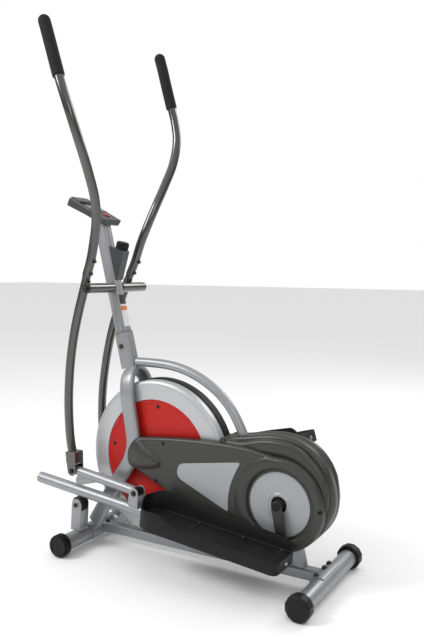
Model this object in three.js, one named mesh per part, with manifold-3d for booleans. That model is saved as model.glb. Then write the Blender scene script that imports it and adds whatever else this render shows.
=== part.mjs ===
// Elliptical trainer: a front-wheel cross trainer with two swinging handlebars and two foot beams.
// Millimetres. +Z is up, +X runs from the flywheel end to the crank end, and the user's left is -Y.
// The origin is on the floor, under the middle of the machine.
import * as THREE from 'three';
import { mergeVertices } from 'three/addons/utils/BufferGeometryUtils.js';
import Module from 'manifold-3d';

const wasm = await Module();
wasm.setup();

// ---- driving dimensions -------------------------------------------------------------------
const GAP = 0.3; // between pieces that touch
const DEG = Math.PI / 180;

const frontX = -317; // the two stabilisers
const rearX = 469;
const footR = 34.3;
const halfTrack = 207.5;
const stabiliserR = 25;
const tubeWall = 2;

const saddleR = stabiliserR + 3.5; // outside of the curved plates on the stabilisers
const railHalfWidth = 18;
const railBottom = 27;
const railTop = 57;

const wheelX = -73.5; // flywheel
const wheelZ = 302;
const wheelR = 243;
const wheelFaceY = 36;
const insetR = 181;

const crankX = 351; // crank and its drum-shaped cover
const crankZ = 240;
const crankLength = 130;
const crankTurn = 10.5 * DEG; // the left pin stands this far behind straight down
const coverFaceY = 66;
const drumR = 131;
const shellR = 24; // bearing shell round the spindle
const drivePulleyR = 100;
const smallPulleyR = 28;
const beltY = 48;

const legY = 52; // the fork round the flywheel
const legWide = 48;
const legThick = 22;

const pivotX = -250.4; // the handlebars' axle
const pivotZ = 819.3;
const mastLean = 0.2455; // sideways run for each millimetre of height
const mastFootX = -193;
const mastFootZ = 567;
const lowerMast = [54, 43]; // depth and width of the two mast tubes
const upperMast = [48, 37];
const mastSplitZ = 678;

const limbY = 105; // plane of the lower handlebar, link rod, foot beam and roller
const beamR = 17.5;
const beamLength = 859;
const rollerX = -312.5;
const rollerZ = 141.5;
const rollerR = 24;
const barR = 14;
const leverLength = 578; // handlebar axle to link pin
const linkLength = 242;
const linkR = 15;
const bracketAlong = 474; // link pin on the foot beam, measured from the crank pin
const bracketAbove = 54;
const cheekInner = 16.5; // forked brackets: cheek plates either side of a link's eye
const cheekOuter = 19.5;
const pinR = 5;

// ---- colours ------------------------------------------------------------------------------
const finishes = {
  silver: { color: 0xb4b6b8, roughness: 0.38, metalness: 0.75 },
  graphite: { color: 0x4a4b49, roughness: 0.42, metalness: 0.6 },
  cover: { color: 0x53534f, roughness: 0.45, metalness: 0.35 },
  pale: { color: 0xc6c8c9, roughness: 0.4, metalness: 0.3 },
  red: { color: 0xb02a22, roughness: 0.42, metalness: 0.05 },
  black: { color: 0x1c1d1e, roughness: 0.62, metalness: 0 },
  foam: { color: 0x202123, roughness: 0.9, metalness: 0 },
  steel: { color: 0x7d7f82, roughness: 0.35, metalness: 0.9 },
};

const trainer = new THREE.Group();

function add(name, finish, geometry, parent = trainer) {
  const mesh = new THREE.Mesh(geometry, new THREE.MeshStandardMaterial(finishes[finish]));
  mesh.name = name;
  parent.add(mesh);
  return mesh;
}

// ---- solids -------------------------------------------------------------------------------
function signedVolume(geometry) {
  const p = geometry.attributes.position;
  const index = geometry.index.array;
  const [a, b, c] = [new THREE.Vector3(), new THREE.Vector3(), new THREE.Vector3()];
  let six = 0;
  for (let i = 0; i < index.length; i += 3) {
    a.fromBufferAttribute(p, index[i]);
    b.fromBufferAttribute(p, index[i + 1]);
    c.fromBufferAttribute(p, index[i + 2]);
    six += a.dot(b.cross(c));
  }
  return six / 6;
}

// Shared vertices merged, faces outward.
function closed(geometry) {
  const bare = geometry.clone();
  bare.deleteAttribute('normal');
  bare.deleteAttribute('uv');
  const merged = mergeVertices(bare, 1e-4);
  if (signedVolume(merged) < 0) {
    const index = merged.index.array;
    for (let i = 0; i < index.length; i += 3) [index[i], index[i + 1]] = [index[i + 1], index[i]];
  }
  return merged;
}

function solid(geometry) {
  const g = closed(geometry);
  return new wasm.Manifold(new wasm.Mesh({
    numProp: 3,
    vertProperties: new Float32Array(g.attributes.position.array),
    triVerts: new Uint32Array(g.index.array),
  }));
}

function surface(manifold) {
  const mesh = manifold.getMesh();
  const g = new THREE.BufferGeometry();
  g.setAttribute('position', new THREE.BufferAttribute(new Float32Array(mesh.vertProperties), 3));
  g.setIndex(new THREE.BufferAttribute(new Uint32Array(mesh.triVerts), 1));
  return g;
}

const joined = (...pieces) => surface(pieces.map(solid).reduce((sum, piece) => sum.add(piece)));
const cut = (body, ...tools) => surface(tools.map(solid).reduce((rest, tool) => rest.subtract(tool),
  solid(body)));
const mirrored = (geometry) => closed(geometry.clone().scale(1, -1, 1));
const moved = (geometry, x, y, z) => geometry.clone().translate(x, y, z);

// A ring or solid of revolution about Y. profile holds [radius, y] pairs, axis to axis or round a ring.
function turned(profile, segments = 24) {
  const points = profile.map(([r, y]) => new THREE.Vector2(r, y));
  if (profile[0][0] > 0) points.push(points[0].clone());
  return closed(new THREE.LatheGeometry(points, segments));
}

const disc = (r, y0, y1, segments = 24) => turned([[0, y0], [r, y0], [r, y1], [0, y1]], segments);
const ring = (inner, outer, y0, y1, segments = 24) => (
  turned([[inner, y0], [outer, y0], [outer, y1], [inner, y1]], segments));

// A flat outline in X and Z, given thickness from y0 to y1.
function slab(outline, y0, y1, curveSegments = 10) {
  const g = new THREE.ExtrudeGeometry(outline, { depth: y1 - y0, bevelEnabled: false, curveSegments });
  return closed(g.rotateX(Math.PI / 2).translate(0, y1, 0));
}

// A flat outline in X and Y, given height from z0 to z1.
function plate(outline, z0, z1, curveSegments = 6) {
  const g = new THREE.ExtrudeGeometry(outline, { depth: z1 - z0, bevelEnabled: false, curveSegments });
  return closed(g.translate(0, 0, z0));
}

const box = (x0, x1, y0, y1, z0, z1) => (
  new THREE.BoxGeometry(x1 - x0, y1 - y0, z1 - z0).translate((x0 + x1) / 2, (y0 + y1) / 2,
    (z0 + z1) / 2));

function circle(r, x = 0, z = 0) {
  const s = new THREE.Shape();
  s.absarc(x, z, r, 0, 2 * Math.PI);
  return s;
}

// A round tube's section. Its bore, which never shows, is left eight-sided.
function tubeSection(outer, inner) {
  const s = circle(outer);
  s.holes.push(new THREE.Path(circle(inner).getPoints(4)));
  return s;
}

// A rectangle with round corners; with wall set, it is a hollow section.
function roundedRect(width, height, radius, wall = 0) {
  const draw = (s, w, h, r) => {
    s.moveTo(w - r, -h);
    s.absarc(w - r, r - h, r, -Math.PI / 2, 0);
    s.absarc(w - r, h - r, r, 0, Math.PI / 2);
    s.absarc(r - w, h - r, r, Math.PI / 2, Math.PI);
    s.absarc(r - w, r - h, r, Math.PI, 1.5 * Math.PI);
    return s;
  };
  const shape = draw(new THREE.Shape(), width / 2, height / 2, radius);
  if (wall) shape.holes.push(draw(new THREE.Path(), width / 2 - wall, height / 2 - wall,
    radius - wall));
  return shape;
}

// The straight-sided outline round two circles of different radius, as on a crank arm or belt.
function wrapped(x0, z0, r0, x1, z1, r1, Kind = THREE.Shape) {
  const along = Math.atan2(z1 - z0, x1 - x0);
  const lean = Math.acos((r0 - r1) / Math.hypot(x1 - x0, z1 - z0));
  const s = new Kind();
  s.absarc(x0, z0, r0, along + lean, along - lean + 2 * Math.PI);
  s.absarc(x1, z1, r1, along - lean, along + lean);
  return s;
}

// A section carried along a curve. The section's first axis starts across the plane of the curve.
function swept(points, section, steps, curveSegments = 6, tension = 0.5) {
  const path = new THREE.CatmullRomCurve3(points.map((p) => new THREE.Vector3(...p)), false,
    'centripetal', tension);
  return closed(new THREE.ExtrudeGeometry(section, { steps, curveSegments, bevelEnabled: false,
    extrudePath: path }));
}

// A bolt across a forked bracket, from outer side to outer side, with a low head at each end.
const crossPin = (low, high, x, z) => moved(turned([
  [0, low - 4], [5.5, low - 4], [7.5, low], [pinR, low], [pinR, high], [7.5, high], [5.5, high + 4],
    [0, high + 4],
], 12), x, 0, z);

// ---- the linkage at rest ------------------------------------------------------------------
// From the crank's angle: the pin, the beam's tilt over the roller, the link pins and the lever's angle.
function linkage(turn) {
  const pin = [crankX + crankLength * Math.sin(turn), crankZ - crankLength * Math.cos(turn)];
  const run = pin[0] - rollerX;
  const rise = rollerZ - pin[1];
  const contact = rollerR + beamR + GAP;
  const tilt = Math.atan2(rise, run) + Math.asin(contact / Math.hypot(run, rise));
  const rear = [
    pin[0] - bracketAlong * Math.cos(tilt) + bracketAbove * Math.sin(tilt),
    pin[1] + bracketAlong * Math.sin(tilt) + bracketAbove * Math.cos(tilt),
  ];
  const dx = rear[0] - pivotX;
  const dz = rear[1] - pivotZ;
  const far = Math.hypot(dx, dz);
  const corner = Math.acos((leverLength ** 2 + far ** 2 - linkLength ** 2) / (2 * leverLength * far));
  const lever = Math.atan2(dx, -dz) - corner; // from straight down, positive towards the rear
  const front = [pivotX + leverLength * Math.sin(lever), pivotZ - leverLength * Math.cos(lever)];
  const link = Math.atan2(front[1] - rear[1], rear[0] - front[0]);
  return { pin, tilt, rear, front, lever, link };
}

const left = linkage(crankTurn);
const right = linkage(crankTurn + Math.PI);
const leverNeutral = (left.lever + right.lever) / 2;

// A group hung at a point and turned about Y, for the pieces of one limb.
function limb(x, z, turn) {
  const group = new THREE.Group();
  group.position.set(x, 0, z);
  group.rotation.y = turn;
  trainer.add(group);
  return group;
}

// ---- base ---------------------------------------------------------------------------------
function buildBase() {
  const capLength = { front: 30, rear: 36 };
  const ends = { front: halfTrack - capLength.front, rear: halfTrack - capLength.rear };
  const tube = (half) => ring(stabiliserR - tubeWall, stabiliserR, -half, half, 24);
  const spigotR = stabiliserR - tubeWall - 0.5;
  const spigotLength = 18;

  add('front_stabiliser_tube', 'silver', moved(tube(ends.front - GAP), frontX, 0, footR));
  add('rear_stabiliser_tube', 'silver', moved(tube(ends.rear - GAP), rearX, 0, footR));

  // Front: ribbed transport wheels. Rear: twelve-sided caps whose flats level the machine.
  const face = -halfTrack;
  const wheelInner = -ends.front;
  const wheel = turned([
    [0, wheelInner + spigotLength], [spigotR, wheelInner + spigotLength], [spigotR, wheelInner],
    [footR - 2, wheelInner], [footR, wheelInner - 3], [footR, face + 5], [footR - 4, face], [0, face],
  ], 28);
  const capSides = 12;
  const capR = footR / Math.cos(Math.PI / capSides);
  const capInner = -ends.rear;
  const capBody = turned([
    [0, capInner], [capR - 2.5, capInner], [capR, capInner - 3], [capR, face + 7],
    [capR - 5, face + 1.5], [0, face + 1.5],
  ], capSides).rotateY(Math.PI / capSides);
  const spigot = disc(spigotR, capInner - 1, capInner + spigotLength);
  const button = disc(footR - 11, face, face + 3, 24);
  const cap = joined(capBody, spigot, button);
  add('left_transport_wheel', 'black', moved(wheel, frontX, 0, footR));
  add('right_transport_wheel', 'black', moved(mirrored(wheel), frontX, 0, footR));
  add('left_levelling_cap', 'black', moved(cap, rearX, 0, footR));
  add('right_levelling_cap', 'black', moved(mirrored(cap), rearX, 0, footR));

  // Saddles: curved plates that wrap the upper half of each stabiliser on its inner side.
  const saddle = (x, half, from, to) => {
    const s = new THREE.Shape();
    s.absarc(x, footR, saddleR + GAP, from, to, false);
    s.absarc(x, footR, stabiliserR + GAP, to, from, true);
    return slab(s, -half, half, 10);
  };
  add('front_saddle', 'silver', saddle(frontX, 68, -35 * DEG, 120 * DEG));
  add('rear_saddle', 'silver', saddle(rearX, 56, 60 * DEG, 215 * DEG));

  const railStart = frontX + 19;
  const railEnd = rearX - 19;
  const railShape = roundedRect(2 * railHalfWidth, railTop - railBottom, 5, tubeWall);
  const rail = new THREE.ExtrudeGeometry(railShape, { depth: railEnd - railStart,
    bevelEnabled: false, curveSegments: 3 });
  rail.rotateX(Math.PI / 2).rotateZ(Math.PI / 2).translate(railStart, 0, (railTop + railBottom) / 2);
  const coping = (x) => moved(disc(saddleR + 2 * GAP, -railHalfWidth - 1, railHalfWidth + 1, 28), x,
    0, footR);
  add('base_rail', 'silver', cut(closed(rail), coping(frontX), coping(rearX)));

  // Column from the rail up to the crank's bearing shell, leaning forward.
  const foot = [394, railTop + GAP];
  const lean = Math.atan2(foot[0] - crankX, crankZ - foot[1]);
  const column = new THREE.ExtrudeGeometry(roundedRect(36, 26, 6, tubeWall), {
    depth: 190, bevelEnabled: false, curveSegments: 3,
  });
  column.rotateY(-lean).translate(foot[0], 0, foot[1] - 6);
  const below = box(foot[0] - 60, foot[0] + 60, -30, 30, railTop - 40, foot[1]);
  const shellClear = moved(disc(shellR + GAP, -40, 40, 28), crankX, 0, crankZ);
  const above = box(crankX - 80, crankX + 80, -40, 40, crankZ, crankZ + 60);
  add('crank_post', 'silver', cut(closed(column), below, shellClear, above));
  add('crank_bearing_shell', 'silver', moved(ring(13.5, shellR, -34, 34), crankX, 0, crankZ));
}

// ---- fork, mast and brace -----------------------------------------------------------------
function buildFork() {
  const y = -legY;
  const legPath = [
    [-296, y, 72], [-262, y, 126], [-226, y, 186], [-188, y, 240], [-156, y, 292], [-144, y, 340],
    [-149, y, 390], [-160, y, 450], [-168, y, 505], [-174, y + 12, 542], [-180, y + 34, 562], [-182,
      -GAP, 566],
  ];
  const bar = swept(legPath, roundedRect(legThick, legWide, legThick / 2 - 0.5), 15, 2);
  const past = box(-300, -100, -GAP, 60, 480, 640);
  const mastSeat = box(-300, -100, -60, 60, 578, 640);
  const braceClear = moved(disc(barR + GAP, 0, 80, 24).rotateZ(-Math.PI / 2), -172, 0, 589.3);
  const saddleClear = moved(disc(saddleR + 2 * GAP, -90, 90, 28), frontX, 0, footR);
  // The dropout plate behind the bend carries the flywheel's axle.
  const plateOutline = wrapped(-150, 322, 30, wheelX, wheelZ, 17);
  const dropout = slab(plateOutline, y - 8, y - 4);
  const axleHole = moved(disc(8 + GAP, y - 20, y + 20, 16), wheelX, 0, wheelZ);
  const leg = cut(joined(bar, dropout), past, mastSeat, braceClear, saddleClear, axleHole);
  add('left_fork_leg', 'silver', leg);
  add('right_fork_leg', 'silver', mirrored(leg));

  add('flywheel_axle', 'steel', moved(turned([
    [0, -62], [12, -62], [12, -60.6], [8, -60.6], [8, 60.6], [12, 60.6], [12, 62], [0, 62],
  ], 16), wheelX, 0, wheelZ));
}

const mastAt = (z) => mastFootX - mastLean * (z - mastFootZ);
const mastAngle = Math.atan(mastLean);

// A hollow oval length of the mast between two heights on its leaning centre line.
function mastTube([depth, width], z0, z1) {
  const length = (z1 - z0) / Math.cos(mastAngle);
  const section = roundedRect(depth, width, width * 0.42, tubeWall);
  const g = new THREE.ExtrudeGeometry(section, { depth: length, bevelEnabled: false,
    curveSegments: 3 });
  return closed(g.rotateY(-mastAngle).translate(mastAt(z0), 0, z0));
}

// The room that a mast tube of that section takes, as a tool for cutting its neighbours.
function mastRoom([depth, width], z0, length) {
  const section = roundedRect(depth + 2 * GAP, width + 2 * GAP, width * 0.42);
  const g = new THREE.ExtrudeGeometry(section, { depth: length, bevelEnabled: false,
    curveSegments: 3 });
  return closed(g.rotateY(-mastAngle).translate(mastAt(z0), 0, z0));
}

const consoleCorners = [[-273, 1014], [-259, 1032], [-404, 1106], [-417, 1081]];

function buildMast() {
  const footCut = box(-300, -100, -60, 60, 500, 578 + GAP);
  add('mast_lower', 'silver', cut(mastTube(lowerMast, 560, mastSplitZ), footCut));

  const [rearLow, , , frontLow] = consoleCorners;
  const underside = Math.atan2(frontLow[1] - rearLow[1], rearLow[0] - frontLow[0]);
  const lid = box(-120, 120, -60, 60, -GAP, 120).rotateY(underside);
  const overConsole = moved(lid, (rearLow[0] + frontLow[0]) / 2, 0, (rearLow[1] + frontLow[1]) / 2);
  const axleHole = moved(disc(10.5 + GAP, -40, 40, 14), pivotX, 0, pivotZ);
  add('mast_upper', 'silver', cut(mastTube(upperMast, 600, 1070), overConsole, axleHole));

  // Rear brace: from the mast's foot, over the flywheel, down to the crank's bearing shell.
  const bracePath = [
    [-168, 0, 589], [-120, 0, 589.5], [-60, 0, 588], [-10, 0, 581], [40, 0, 566], [90, 0, 542], [135,
      0, 510],
    [170, 0, 472], [196, 0, 430], [222, 0, 378], [262, 0, 312], [305, 0, 268], [335, 0, 250],
  ];
  const brace = swept(bracePath, tubeSection(barR, barR - 2), 17, 6);
  const shellClear = moved(disc(shellR + GAP, -40, 40, 28), crankX, 0, crankZ);
  add('brace_tube', 'silver', cut(brace, shellClear, mastRoom(lowerMast, 545, 160)));

  // The handlebars' axle with its end washers and bolt heads.
  const headY = halfSleeve + 1;
  add('handlebar_axle', 'steel', moved(turned([
    [0, -headY - 7], [6, -headY - 7], [7, -headY - 2], [15, -headY - 2], [15, -headY], [10, -headY],
      [10, headY],
    [15, headY], [15, headY + 2], [7, headY + 2], [6, headY + 7], [0, headY + 7],
  ], 14), pivotX, 0, pivotZ));
}

// ---- handlebars ---------------------------------------------------------------------------
const halfSleeve = 141;
const sleeveInner = 21;
const sleeveR = 15.5;
const splitZ = 40; // where the upper bar slips over the lower one, above the axle

// Bar paths in the neutral swing, from the axle, as [x, y, z].
const lowerBar = [
  [-31, -limbY, 26], [-45, -limbY, -12], [-67, -limbY, -72], [-90, -limbY, -146], [-107, -limbY, -222],
  [-117, -limbY, -290], [-123, -limbY, -355], [-124, -limbY, -420], [-121, -limbY, -480], [-113,
    -limbY, -528],
];
const upperBar = [
  [-27, -107, splitZ], [-9, -108, 82], [9, -110, 141], [28, -119, 201], [42, -138, 261], [51, -172,
    331],
  [56, -212, 411], [49, -239, 491], [34, -246, 551], [18, -246, 601], [-2, -243, 665], [-20, -241, 722],
];
const gripPath = [[19, -246, 597], [-2, -243, 665], [-22, -240.5, 731], [-38.5, -238, 781]];
const gripR = 18;

function buildHandlebar(side, at) {
  const turn = leverNeutral - at.lever;
  const group = limb(pivotX, pivotZ, turn);
  const finish = side === 'left' ? (g) => g : mirrored;

  const sleeve = ring(10.4, sleeveR, -halfSleeve, -sleeveInner, 20);
  const weld = disc(11, 14, 40, 12).rotateZ(Math.PI / 2).translate(0, -limbY, 2);
  const bar = swept(lowerBar, circle(barR), 14, 6);
  // The stub passes up inside the upper bar as far as its top clamp bolt.
  const stub = swept([[-33, -106.5, 26], [-27, -107, splitZ], [-9, -108, 82], [-5, -108.3, 93]],
    circle(barR - 3.2), 3, 4);
  const pinX = leverLength * -Math.sin(-leverNeutral);
  const pinZ = -leverLength * Math.cos(leverNeutral);
  const cheek = wrapped(pinX, pinZ, 16, pinX - 2, pinZ + 40, 20);
  const low = -limbY - cheekOuter;
  const high = -limbY + cheekOuter;
  const block = slab(cheek, low, high);
  const roof = pinZ + 44;
  const slotOutline = new THREE.Shape();
  slotOutline.moveTo(pinX - 60, pinZ - 40);
  slotOutline.lineTo(pinX + 60, pinZ - 40);
  slotOutline.lineTo(pinX + 60, roof);
  slotOutline.lineTo(pinX - 60, roof);
  const slot = slab(slotOutline, -limbY - cheekInner, -limbY + cheekInner);
  const bracket = cut(block, slot);
  const pin = crossPin(low, high, pinX, pinZ);
  const lower = cut(
    joined(sleeve, weld, bar, stub, bracket, pin),
    disc(10.4, -halfSleeve - 2, -sleeveInner + 2, 20),
    moved(box(-40, 40, -limbY - cheekInner, -limbY - linkEyeHalf - 0.8, -26, roof - pinZ - 1), pinX,
      0, pinZ),
  );
  add(`${side}_lower_handlebar`, 'graphite', finish(lower), group);

  const upper = swept(upperBar, tubeSection(barR, barR - 2), 18, 6);
  add(`${side}_upper_handlebar`, 'graphite', finish(upper), group);

  const gripTube = swept(gripPath, circle(gripR), 5, 8);
  const hole = swept(upperBar, circle(barR + GAP), 18, 6);
  add(`${side}_grip`, 'foam', finish(cut(gripTube, hole)), group);
}

const linkEyeHalf = 15.5;

// A link rod between its two eyes. Local +X runs from the front eye to the rear eye.
function buildLink(side, at) {
  const group = limb(at.front[0], at.front[1], at.link);
  const eye = disc(13, -limbY - linkEyeHalf, -limbY + linkEyeHalf, 16);
  const rod = disc(linkR, 0, linkLength - 16, 20).rotateZ(-Math.PI / 2).translate(8, -limbY, 0);
  const boreTool = disc(pinR + GAP, -limbY - 40, -limbY + 40, 16);
  const rods = cut(
    joined(rod, eye, moved(eye, linkLength, 0, 0)),
    boreTool,
    moved(boreTool, linkLength, 0, 0),
  );
  add(`${side}_link_rod`, 'silver', side === 'left' ? rods : mirrored(rods), group);
}

// ---- foot beams and trays -----------------------------------------------------------------
const trayInnerY = -86;
const trayOuterY = -198;
const trayRear = 34;
const trayFront = -418;

function trayPlan(grow) {
  const s = new THREE.Shape();
  const inner = trayInnerY + grow;
  const outer = trayOuterY - grow;
  const rear = trayRear + grow;
  const front = trayFront - grow;
  const corner = 22 + grow;
  s.moveTo(rear, outer + corner);
  s.absarc(rear - corner / 2, inner - corner / 2, corner / 2, 0, Math.PI / 2);
  s.lineTo(front + 70, inner);
  s.quadraticCurveTo(front, inner, front, (inner + outer) / 2);
  s.quadraticCurveTo(front, outer, front + 70, outer);
  s.lineTo(rear - corner, outer);
  s.quadraticCurveTo(rear, outer, rear, outer + corner);
  return s;
}

// The tray's height all round: a hood in front, a tall inner wall, a low outer lip, a low rear lip.
function buildTray() {
  const floorTop = 21;
  const hull = plate(trayPlan(0), -8, 82, 5);
  const room = plate(trayPlan(-3.5), floorTop, 90, 5);
  const under = plate(trayPlan(-3.5), -9, floorTop - 3, 5);
  // Seen from the side, what stays of the inner wall and of the outer wall.
  const above = (points) => {
    const s = new THREE.Shape();
    s.moveTo(trayRear + 10, 100);
    points.forEach(([x, z]) => s.lineTo(x, z));
    s.lineTo(trayFront - 10, 100);
    return s;
  };
  const innerTop = above([
    [trayRear + 10, 24], [trayRear - 6, 30], [trayRear - 22, 54], [-60, 58], [-300, 62], [-330, 70],
      [-350, 80], [trayFront - 10, 82],
  ]);
  const outerTop = above([
    [trayRear + 10, 26], [-255, 25], [-280, 28], [-310, 42], [-338, 52], [-360, 50], [trayFront - 10,
      44],
  ]);
  const shell = cut(
    hull,
    room,
    under,
    slab(innerTop, trayInnerY - 40, trayInnerY + 5),
    slab(outerTop, trayOuterY - 5, trayOuterY + 34),
    slab(above([[trayRear + 10, 25], [-340, 25], [-352, 72], [-372, 80], [trayFront - 10, 70]]),
      trayOuterY + 33.9, trayInnerY - 39.9),
  );
  const beamClear = disc(beamR + 0.6, 0, 500, 20).rotateZ(Math.PI / 2).translate(40, -limbY, 0);
  const hubClear = disc(21, -limbY - 20, 0, 20);
  return cut(shell, beamClear, hubClear);
}

function buildPedal(side, at) {
  const group = limb(at.pin[0], at.pin[1], at.tilt);
  const finish = side === 'left' ? (g) => g : mirrored;
  const tubeOf = (r, x0, x1) => disc(r, 0, x1 - x0, 20).rotateZ(-Math.PI / 2).translate(x0, -limbY, 0);
  const beam = cut(tubeOf(beamR, -beamLength, 28), tubeOf(beamR - tubeWall, -beamLength - 5, -60));
  // The hub at the rear turns on the crank pin; the pin's stub stops clear of the crank arm.
  const hub = disc(20, -limbY - 18, -limbY + 18, 20);
  const stub = turned([[0, -limbY], [7, -limbY], [7, -81.2], [0, -81.2]], 16);
  // The link bracket: two cheeks that straddle the beam.
  const eyeX = -bracketAlong;
  const low = -limbY - cheekOuter;
  const high = -limbY + cheekOuter;
  const side0 = new THREE.Shape();
  side0.moveTo(eyeX - 22, -4);
  side0.lineTo(eyeX + 22, -4);
  side0.lineTo(eyeX + 16, bracketAbove);
  side0.absarc(eyeX, bracketAbove, 16, 0, Math.PI);
  const block = slab(side0, low, high);
  const slot = box(eyeX - 40, eyeX + 40, -limbY - cheekInner, -limbY + cheekInner, 20,
    bracketAbove + 40);
  const pin = crossPin(low, high, eyeX, bracketAbove);
  const bracket = cut(block, slot, tubeOf(beamR - 1, -beamLength - 5, 28));
  add(`${side}_foot_beam`, 'silver', finish(joined(beam, hub, stub, bracket, pin)), group);
  add(`${side}_foot_tray`, 'black', finish(buildTray()), group);
}

// ---- rollers under the beams --------------------------------------------------------------
function buildRoller(side) {
  const finish = side === 'left' ? (g) => g : mirrored;
  const cheekHalf = 19;
  const base = footR + stabiliserR + GAP;
  const cheek = new THREE.Shape();
  cheek.moveTo(frontX - cheekHalf, base);
  cheek.lineTo(frontX + cheekHalf, base);
  cheek.lineTo(rollerX + cheekHalf, rollerZ);
  cheek.absarc(rollerX, rollerZ, cheekHalf, 0, Math.PI);
  const block = slab(cheek, -limbY - 18.5, -limbY + 18.5);
  const slot = box(frontX - 40, frontX + 40, -limbY - 15.5, -limbY + 15.5, base + 6, rollerZ + 40);
  const axle = moved(turned([
    [0, -limbY - 22], [5, -limbY - 22], [7, -limbY - 18.5], [pinR, -limbY - 18.5], [pinR,
      -limbY + 18.5],
    [7, -limbY + 18.5], [5, -limbY + 22], [0, -limbY + 22],
  ], 12), rollerX, 0, rollerZ);
  add(`${side}_roller_bracket`, 'silver', finish(joined(cut(block, slot), axle)));
  add(`${side}_roller`, 'black', moved(finish(ring(pinR + GAP, rollerR, -limbY - 14, -limbY + 14,
    24)), rollerX, 0, rollerZ));
}

// ---- crank and drive ----------------------------------------------------------------------
function buildCrank() {
  const armY = [-80, -70];
  const arm = (turn) => {
    const x = crankLength * Math.sin(turn);
    const z = -crankLength * Math.cos(turn);
    const shape = wrapped(0, 0, 15, x, z, 13);
    shape.holes.push(circle(8.4, x, z));
    shape.holes.push(circle(8, 0, 0));
    return slab(shape, armY[0], armY[1]);
  };
  add('left_crank_arm', 'black', moved(arm(crankTurn), crankX, 0, crankZ));
  add('right_crank_arm', 'black', moved(mirrored(arm(crankTurn + Math.PI)), crankX, 0, crankZ));
  add('crank_spindle', 'steel', moved(turned([
    [0, -81], [7.7, -81], [7.7, -69], [13, -69], [13, 69], [7.7, 69], [7.7, 81], [0, 81],
  ], 16), crankX, 0, crankZ));
  add('drive_pulley', 'black', moved(turned([
    [13.3, -beltY - 4], [drivePulleyR, -beltY - 4], [drivePulleyR, -beltY + 4], [22, -beltY + 4],
      [22, -36], [13.3, -36],
  ], 32), crankX, 0, crankZ));

  const belt = wrapped(crankX, crankZ, drivePulleyR + 3.5, wheelX, wheelZ, smallPulleyR + 3.5);
  belt.holes.push(wrapped(crankX, crankZ, drivePulleyR + 1, wheelX, wheelZ, smallPulleyR + 1,
    THREE.Path));
  add('drive_belt', 'black', slab(belt, -beltY - 3, -beltY + 3, 8));
}

// ---- flywheel -----------------------------------------------------------------------------
// The magnet shoe behind the rim stands in a pocket of the covers, out of sight.
function brakeShoe(grow) {
  const shoe = new THREE.Shape();
  const middle = 11 * DEG;
  const edge = 8 * DEG + grow / wheelR;
  shoe.absarc(wheelX, wheelZ, wheelR + 14 + grow, middle - edge, middle + edge, false);
  shoe.absarc(wheelX, wheelZ, wheelR + 4 - grow, middle + edge, middle - edge, true);
  return slab(shoe, -12 - grow, 26 + grow, 4);
}

function buildFlywheel() {
  const at = (g) => moved(g, wheelX, 0, wheelZ);
  add('flywheel_core', 'black', at(turned([
    [8.4, -30], [20, -30], [20, 9], [wheelR - 18, 9], [wheelR - 18, -4], [wheelR, -4],
    [wheelR, 26], [wheelR - 18, 26], [wheelR - 18, 12], [20, 12], [20, 36], [8.4, 36],
  ], 36)));
  add('flywheel_pulley', 'black', at(turned([
    [8.4, -beltY - 4], [smallPulleyR, -beltY - 4], [smallPulleyR, -beltY + 4], [18, -beltY + 4], [18,
      -30.3], [8.4, -30.3],
  ], 24)));

  const face = wheelFaceY;
  const trim = (back) => turned([
    [insetR + 0.6, -face + 4.5], [insetR + 0.6, -face], [wheelR - 18, -face], [wheelR - 8, -face + 3],
    [wheelR - 3, -face + 9], [wheelR - 3, back], [wheelR - 6, back], [wheelR - 10, -face + 6],
  ], 36);
  const inset = () => turned([
    [21, -face + 4], [168, -face + 4], [169.5, -face + 2], [insetR, -face + 2], [insetR,
      -face + 6.5], [21, -face + 6.5],
  ], 36);
  add('flywheel_left_trim', 'silver', at(trim(-4.5)));
  add('flywheel_right_trim', 'silver', at(mirrored(trim(-26.5))));
  add('flywheel_left_inset', 'red', at(inset()));
  add('flywheel_right_inset', 'red', at(mirrored(inset())));

  add('brake_shoe', 'steel', brakeShoe(0));
}

// ---- covers -------------------------------------------------------------------------------
// Outline points on the drum, from polar pairs [degrees, radius] about the crank.
const polar = (pairs) => pairs.map(([deg, r]) => new THREE.Vector2(
  crankX + r * Math.cos(deg * DEG), crankZ + r * Math.sin(deg * DEG)));

// The face's outline: nose, straight lower edge, round drum, long upper edge.
function faceOutline(grow) {
  const s = new THREE.Shape();
  s.moveTo(-158 - grow, 292);
  s.quadraticCurveTo(-152, 274 - grow, -138, 272 - grow);
  s.lineTo(40, 196 - grow);
  s.lineTo(crankX - 36, crankZ - drumR + 5 - grow);
  s.absarc(crankX, crankZ, drumR + grow, -106 * DEG, 96 * DEG, false);
  s.lineTo(261, 383 + grow);
  s.quadraticCurveTo(150, 394 + grow, -40, 377 + grow);
  s.lineTo(-124, 368 + grow);
  s.quadraticCurveTo(-150, 350 + grow, -158 - grow, 320);
  return s;
}

// The middle body behind the flywheel: a fuller drum whose top rises towards the front.
function bodyOutline(grow, shape) {
  const s = new THREE.Shape();
  const points = polar(shape.map(([deg, r]) => [deg, r + grow]));
  s.moveTo(points[0].x, points[0].y);
  s.splineThru(points.slice(1));
  s.lineTo(158 - grow, 398 + grow);
  s.lineTo(158 - grow, 150);
  return s;
}
const crestRadii = [[-106, 131], [-58, 131], [-40, 132], [-18, 137], [0, 145], [14, 150], [27, 156],
  [42, 165],
  [58, 174], [69, 178], [79, 180], [94, 184], [108, 190], [124, 206]];
const bladeRadii = [[-106, 130], [-58, 130], [-20, 130.5], [-4, 131], [6, 137], [30, 150], [43, 154],
  [56, 158], [68, 164],
  [80, 169], [92, 173], [107, 180], [129, 200]];

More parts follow.
